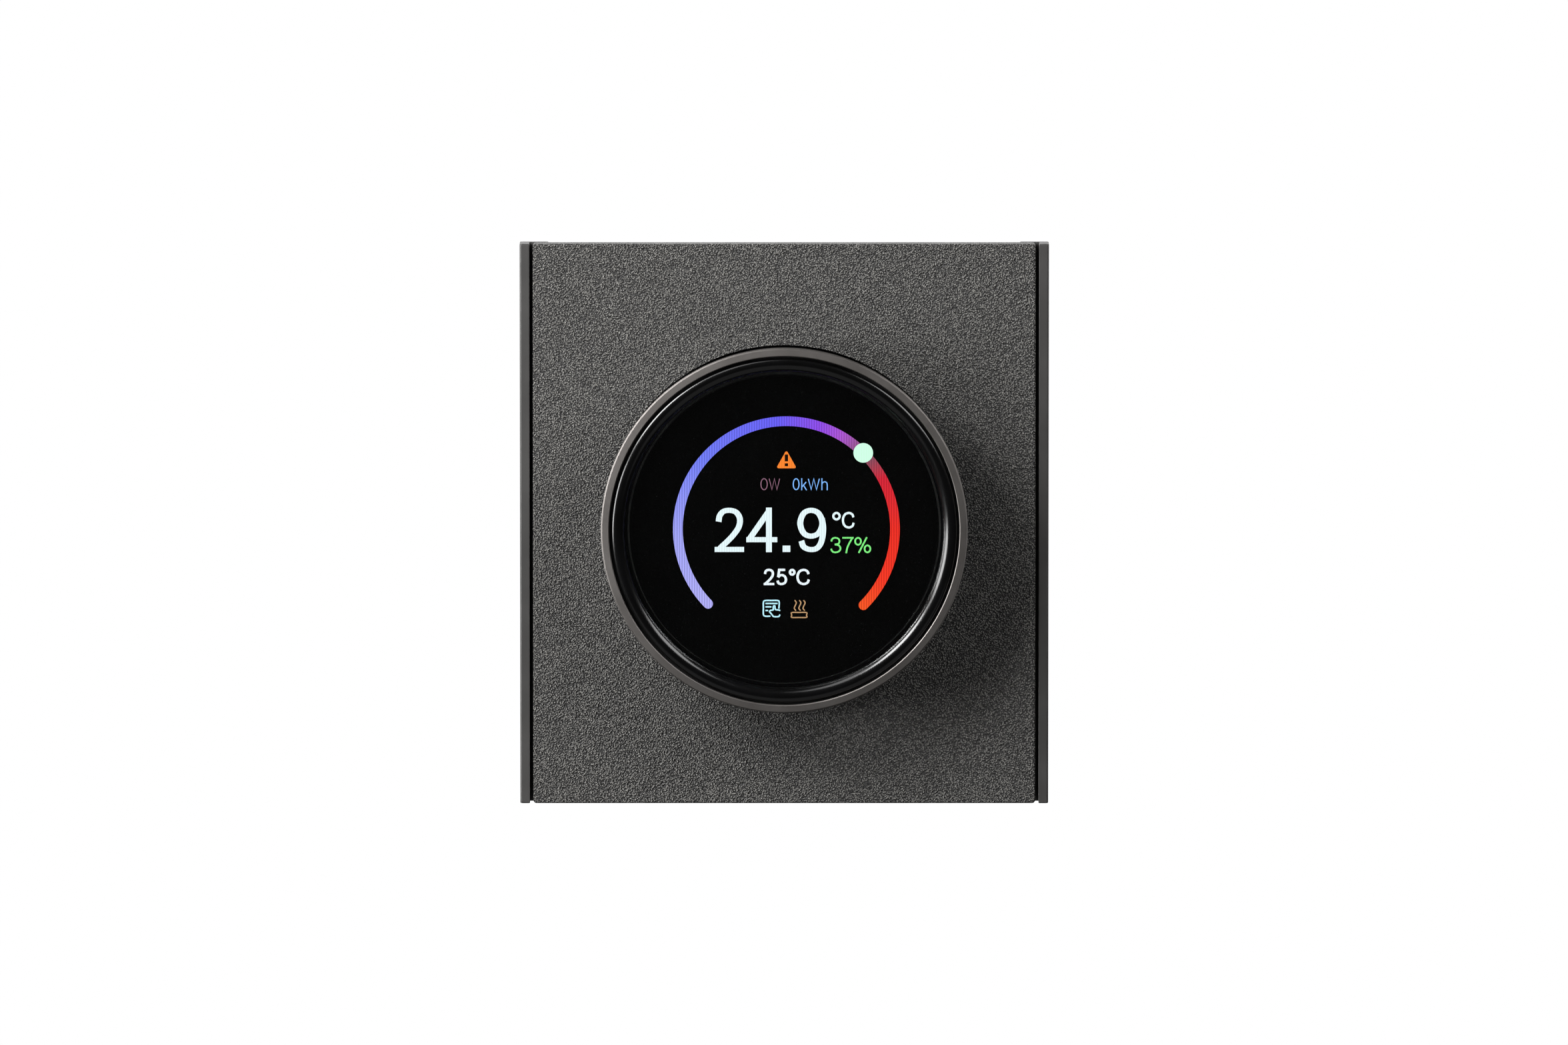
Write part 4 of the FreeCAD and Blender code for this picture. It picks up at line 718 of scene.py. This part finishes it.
# Each sign: colour, stroke's width, and its strokes in millimetres from the picture's middle.
signs = {
    "cardSign": ("bef0ff", 0.22, [
        ("curve", [(-1.15, -12.2), (-1.1, -11.2), (-1.35, -10.95), (-2.3, -10.94), (-3.2, -10.95),
                   (-3.5, -11.2), (-3.51, -12.1), (-3.5, -13.1), (-3.2, -13.35), (-2.45, -13.35)]),
        ("line", [(-3.2, -11.4), (-1.35, -11.4)]), ("line", [(-3.2, -11.92), (-2.3, -11.92)]),
        ("line", [(-3.2, -12.48), (-2.8, -12.48)]),
        ("curve", [(-2.0, -12.45), (-1.98, -11.85), (-1.78, -11.78), (-1.68, -12.3), (-1.2, -12.4),
                   (-0.95, -12.5)]),
        ("curve", [(-2.05, -12.4), (-2.5, -12.5), (-2.55, -12.7), (-2.25, -13.05), (-1.95, -13.4),
                   (-1.2, -13.4), (-0.98, -13.1)])]),
    "heatSign": ("be966e", 0.18, [
        ("loop", [(0.82, -12.8), (1.9, -12.78), (3.05, -12.8), (3.06, -13.2), (3.05, -13.53), (1.9, -13.55),
                  (0.82, -13.53), (0.81, -13.2)]),
        ("curve", [(1.28, -10.9), (1.5, -11.3), (1.3, -11.8), (1.2, -12.15), (1.45, -12.5)]),
        ("curve", [(1.98, -10.9), (2.2, -11.3), (2.0, -11.8), (1.9, -12.15), (2.15, -12.5)]),
        ("curve", [(2.62, -10.9), (2.84, -11.3), (2.64, -11.8), (2.54, -12.15), (2.79, -12.5)])]),
    "alertMark": ("140a06", 0.5, [("line", [(0, 11.45), (0, 10.4)]), ("line", [(0, 10.1), (0, 9.66)])]),
}
alert = {"half": 1.56, "bottom": 9.33, "top": 12.15, "corner": 0.22}


def makeSigns():
    # A warning triangle, drawn as a rounded outline between the panel and its mark; then the mark, a card
    # with a pointing hand, and a heater, all as strokes.
    corners = [(-alert["half"], alert["bottom"]), (alert["half"], alert["bottom"]), (0, alert["top"])]
    triangle = softOutline(corners, [alert["corner"]] * 3, steps=6, hold=0.02)
    triangle += np.array([picture["x"], picture["z"]])
    rear = panelFront - picture["gap"] / 4
    grid = np.stack([np.insert(triangle, 1, rear - lift, 1) for lift in (0, picture["gap"] / 2)])
    addPiece("alertSign", [wrapped(grid, "cap")], "knob",
             litDots("display light, amber", "ff8732"))
    for name, (hexColour, across, strokes) in signs.items():
        parts = [ribbon(smoothed(points, kind == "loop") if kind != "line" else points, across, across,
                        kind == "loop") for kind, points in strokes]
        addPiece(name, parts, "knob", litDots("display light, " + name, hexColour))


finishes = {
    "plate_plastic": sparkGrainedAbs("charcoal ABS, spark grained", plateLook),
    # Satin paint over aluminium: smooth, even, a soft sheen along the edges.
    "strip_metal": mottled("charcoal satin paint", "4a4948", "434241", 0.45, 0.2, 0.006, IOR=1.5),
    # Bead-blasted, anodised aluminium: a fine sparkle, and bright lines where the edges were cut.
    "ring_metal": mottled("anodised aluminium, bead blasted", "8a8683", "7d7976", 0.5, 0.11, 0.006,
                          Metallic=1.0),
    # Moulded in a lightly textured tool: an even, dull sheen.
    "grey_plastic": mottled("dark grey ABS, moulded", "3c3c3c", "343434", 0.55, 0.4, 0.012),
    "black_plastic": mottled("black ABS, moulded", "1e1e1e", "171717", 0.55, 0.35, 0.008),
    # Polished polycarbonate: deep black, with the lights drawn out along its bead.
    "gloss_black": mottled("black polycarbonate, polished", "070708", "040404", 0.2, 0.5, 0.0, vary=0.03,
                           IOR=1.585),
    "glass": coverGlass("cover glass"),
    # A panel under its polariser: nearly black and dull, so that only the lit dots show.
    "display": mottled("display behind its polariser", "030304", "020202", 0.3, 0.2, 0.0,
                       Specular_IOR_Level=0.1),
    # Bright zinc over rolled steel: cool grey with faint rolling lines.
    "steel": mottled("zinc-plated steel", "c4c4c2", "a9a9a8", 0.32, 0.4, 0.004, 4, (1, 1, 0.08),
                     Metallic=1.0),
    # Drawn wire: bright, with faint drawn-out lines.
    "spring_steel": mottled("spring steel, drawn", "b9b9b6", "8f8f8e", 0.22, 0.2, 0.002, 2, (0.1, 1, 1),
                            Metallic=1.0),
    # Yellow brass, dulled in patches by handling.
    "brass": mottled("brass", "d9b56a", "b08a45", 0.28, 0.3, 0.003, 1.5, Metallic=1.0),
    "circuit_board": solderMask("circuit board, green mask", "1e6b3c", "0f4426"),
    # Moulded epoxy of the chips: dull and fine-grained.
    "component": mottled("moulded black epoxy", "1d1d1f", "141415", 0.5, 0.15, 0.006, 2),
    # Moulded PBT: a strong blue with a soft gloss.
    "relay_case": mottled("blue PBT case", "2c50a8", "23418e", 0.35, 0.3, 0.004, 5),
    # Yellow polyester tape wound in layers round the ferrite: fine level ridges.
    "transformer": mottled("yellow polyester tape", "e0b52c", "c79a1e", 0.3, 0.8, 0.05, 3, (0.02, 0.02, 1)),
    # Dipped, not moulded: a thick, glossy and slightly wavy coat.
    "varistor_coat": mottled("blue epoxy dip", "2f62b8", "244f9c", 0.25, 1.5, 0.03, 3),
    # Thin polyimide film: amber-brown, smooth and glossy.
    "flex_film": mottled("amber polyimide film", "c07a1e", "8a5212", 0.25, 0.5, 0.003, 1.2),
    # Tin over steel strip: pale grey and bright, with faint rolling lines.
    "tin_plate": mottled("tinned steel", "d6d6d4", "b8b8b7", 0.25, 0.5, 0.004, 3, (1, 1, 0.2), Metallic=1.0),
    # Rubber-bonded ferrite: dull, slightly brown, gritty.
    "magnet": mottled("bonded ferrite", "3a3735", "2b2928", 0.7, 0.12, 0.01, 1),
    # Unfilled nylon: milky, with a little light passing into it.
    "clear_plastic": mottled("natural nylon", "e4e2da", "d3d0c5", 0.4, 0.5, 0.006, 4, Subsurface_Weight=0.1),
}
for node in nodes.values():
    node.material_slots[0].material = finishes[node.data.materials[0].name]
print("finishes given to every CAD node")
makePlate(finishes["plate_plastic"])
makeStrip("sideStripLeft", "side_strip_left", -1, finishes["strip_metal"])
makeStrip("sideStripRight", "side_strip_right", 1, finishes["strip_metal"])
print("front plate and strips made")
makeRing(finishes["ring_metal"])
makeSkirt(finishes["black_plastic"])
makeSprings(finishes["spring_steel"])
makeBezel(finishes["gloss_black"])
makeDisc("displayGlass", "display_glass", finishes["glass"])
makeDisc("displayPanel", "display_panel", finishes["display"])
for fastenerName in fasteners:
    makeFasteners(fastenerName, finishes["steel"])
print("knob, springs and fasteners made")
for readingName, reading in readings.items():
    makeReading(readingName, *reading)
makeGauge()
makeSigns()
print("display picture made")


studio = {
    "keySoftbox": {"clock": 309, "lift": 27, "distance": 0.5, "size": (0.24, 0.2), "power": 3.0},
    "topSoftbox": {"clock": 335, "lift": 24, "distance": 0.5, "size": (0.3, 0.2), "power": 0.45},
    "rightSoftbox": {"clock": 50, "lift": 28, "distance": 0.5, "size": (0.3, 0.2), "power": 1.0},
    "leftSoftbox": {"clock": 274, "lift": 24, "distance": 0.5, "size": (0.3, 0.2), "power": 2.1},
    "floorBounce": {"clock": 180, "lift": 44, "distance": 0.9, "size": (1.5, 0.9), "power": 0.8},
    "backLeftSoftbox": {"clock": 270, "lift": -35, "distance": 1.2, "size": (1.2, 1.2), "power": 7.0},
    "backRightSoftbox": {"clock": 90, "lift": -35, "distance": 1.2, "size": (1.2, 1.2), "power": 5.5},
    "backTopSoftbox": {"clock": 350, "lift": -58, "distance": 1.2, "size": (1.2, 1.2), "power": 7.0},
}
backdrop = {"ownLight": 0.02, "seen": 1.0, "floorColour": "f4f3f1", "floorGlow": 0.8, "floorRadius": 4,
            "floorHeight": -2.6, "floorSides": 64}


def makeLights():
    # Each softbox stands at a clock angle c round the Y axis and a lift l toward the viewer, away from the
    # plate's middle by (sin c cos l, -sin l, cos c cos l) times its distance, and faces it.
    aim = np.array([0, plateFront / 1000, 0])
    for name, light in studio.items():
        clock, lift = math.radians(light["clock"]), math.radians(light["lift"])
        away = np.array([math.sin(clock) * math.cos(lift), -math.sin(lift), math.cos(clock) * math.cos(lift)])
        data = bpy.data.lights.new(name, "AREA")
        data.shape, data.size, data.size_y, data.energy = "RECTANGLE", *light["size"], light["power"]
        lamp = bpy.data.objects.new(name, data)
        lamp.location = aim + away * light["distance"]
        lamp.rotation_mode = "QUATERNION"
        lamp.rotation_quaternion = Vector(-away).to_track_quat("-Z", "Y")
        lamp.visible_camera = False
        bpy.context.scene.collection.objects.link(lamp)


def makeWorld():
    # Seen by the camera the backdrop is white; its own light on the object is faint.
    world = bpy.data.worlds.new("pale studio")
    bpy.context.scene.world = world
    world.use_nodes = True
    tree = world.node_tree
    seen = addNode(tree, "ShaderNodeLightPath").outputs["Is Camera Ray"]
    dim = addNode(tree, "ShaderNodeBackground", {"Color": (1, 1, 1, 1), "Strength": backdrop["ownLight"]})
    pale = addNode(tree, "ShaderNodeBackground", {"Color": (1, 1, 1, 1), "Strength": backdrop["seen"]})
    mixed = addNode(tree, "ShaderNodeMixShader", {0: seen, 1: dim.outputs[0], 2: pale.outputs[0]})
    tree.links.new(mixed.outputs[0], tree.nodes["World Output"].inputs["Surface"])


def makeFloor():
    # A round floor far below: (r cos a, r sin a, height) in metres.
    b = backdrop
    floorMesh = bpy.data.meshes.new("floor")
    turn = np.linspace(0, 2 * math.pi, b["floorSides"], endpoint=False)
    rim = np.column_stack([b["floorRadius"] * np.cos(turn), b["floorRadius"] * np.sin(turn),
                           np.full(len(turn), b["floorHeight"])])
    floorMesh.from_pydata(rim.tolist(), [], [list(range(len(turn)))])
    floor = bpy.data.objects.new("floor", floorMesh)
    bpy.context.scene.collection.objects.link(floor)
    floorMaterial, _, shader, _ = startMaterial("pale floor")
    setShader(shader, Base_Color=linear(b["floorColour"]), Roughness=0.8,
              Emission_Color=linear(b["floorColour"]), Emission_Strength=b["floorGlow"])
    floorMesh.materials.append(floorMaterial)
    floor.visible_glossy = floor.visible_diffuse = floor.visible_transmission = floor.visible_shadow = False


# The view is width metres wide at the plate, and aimX and aimZ shift its middle, in metres.
cameraPlace = {"azimuth": 0.0, "elevation": 6.15, "distance": 3.0, "width": 0.2396, "aimX": -0.00004,
               "aimZ": 0.00024, "sensor": 36.0, "reach": 100.0}


def makeCamera():
    # Back from the plate by (sin a cos e, -cos a cos e, sin e) times the distance, for azimuth a and
    # elevation e; the lens is sensor x distance / width.
    c = cameraPlace
    azimuth, elevation = math.radians(c["azimuth"]), math.radians(c["elevation"])
    back = Vector((math.sin(azimuth) * math.cos(elevation), -math.cos(azimuth) * math.cos(elevation),
                   math.sin(elevation)))
    data = bpy.data.cameras.new("camera")
    data.sensor_width = c["sensor"]
    data.lens = c["sensor"] * c["distance"] / c["width"]
    data.clip_end = c["reach"]
    camera = bpy.data.objects.new("camera", data)
    camera.location = Vector((c["aimX"], plateFront / 1000, c["aimZ"])) + back * c["distance"]
    camera.rotation_mode = "QUATERNION"
    camera.rotation_quaternion = (-back).to_track_quat("-Z", "Y")
    bpy.context.scene.collection.objects.link(camera)
    bpy.context.scene.camera = camera


makeLights()
makeWorld()
makeFloor()
makeCamera()
print("studio and camera placed")
bpy.context.scene.view_settings.view_transform = "Standard"
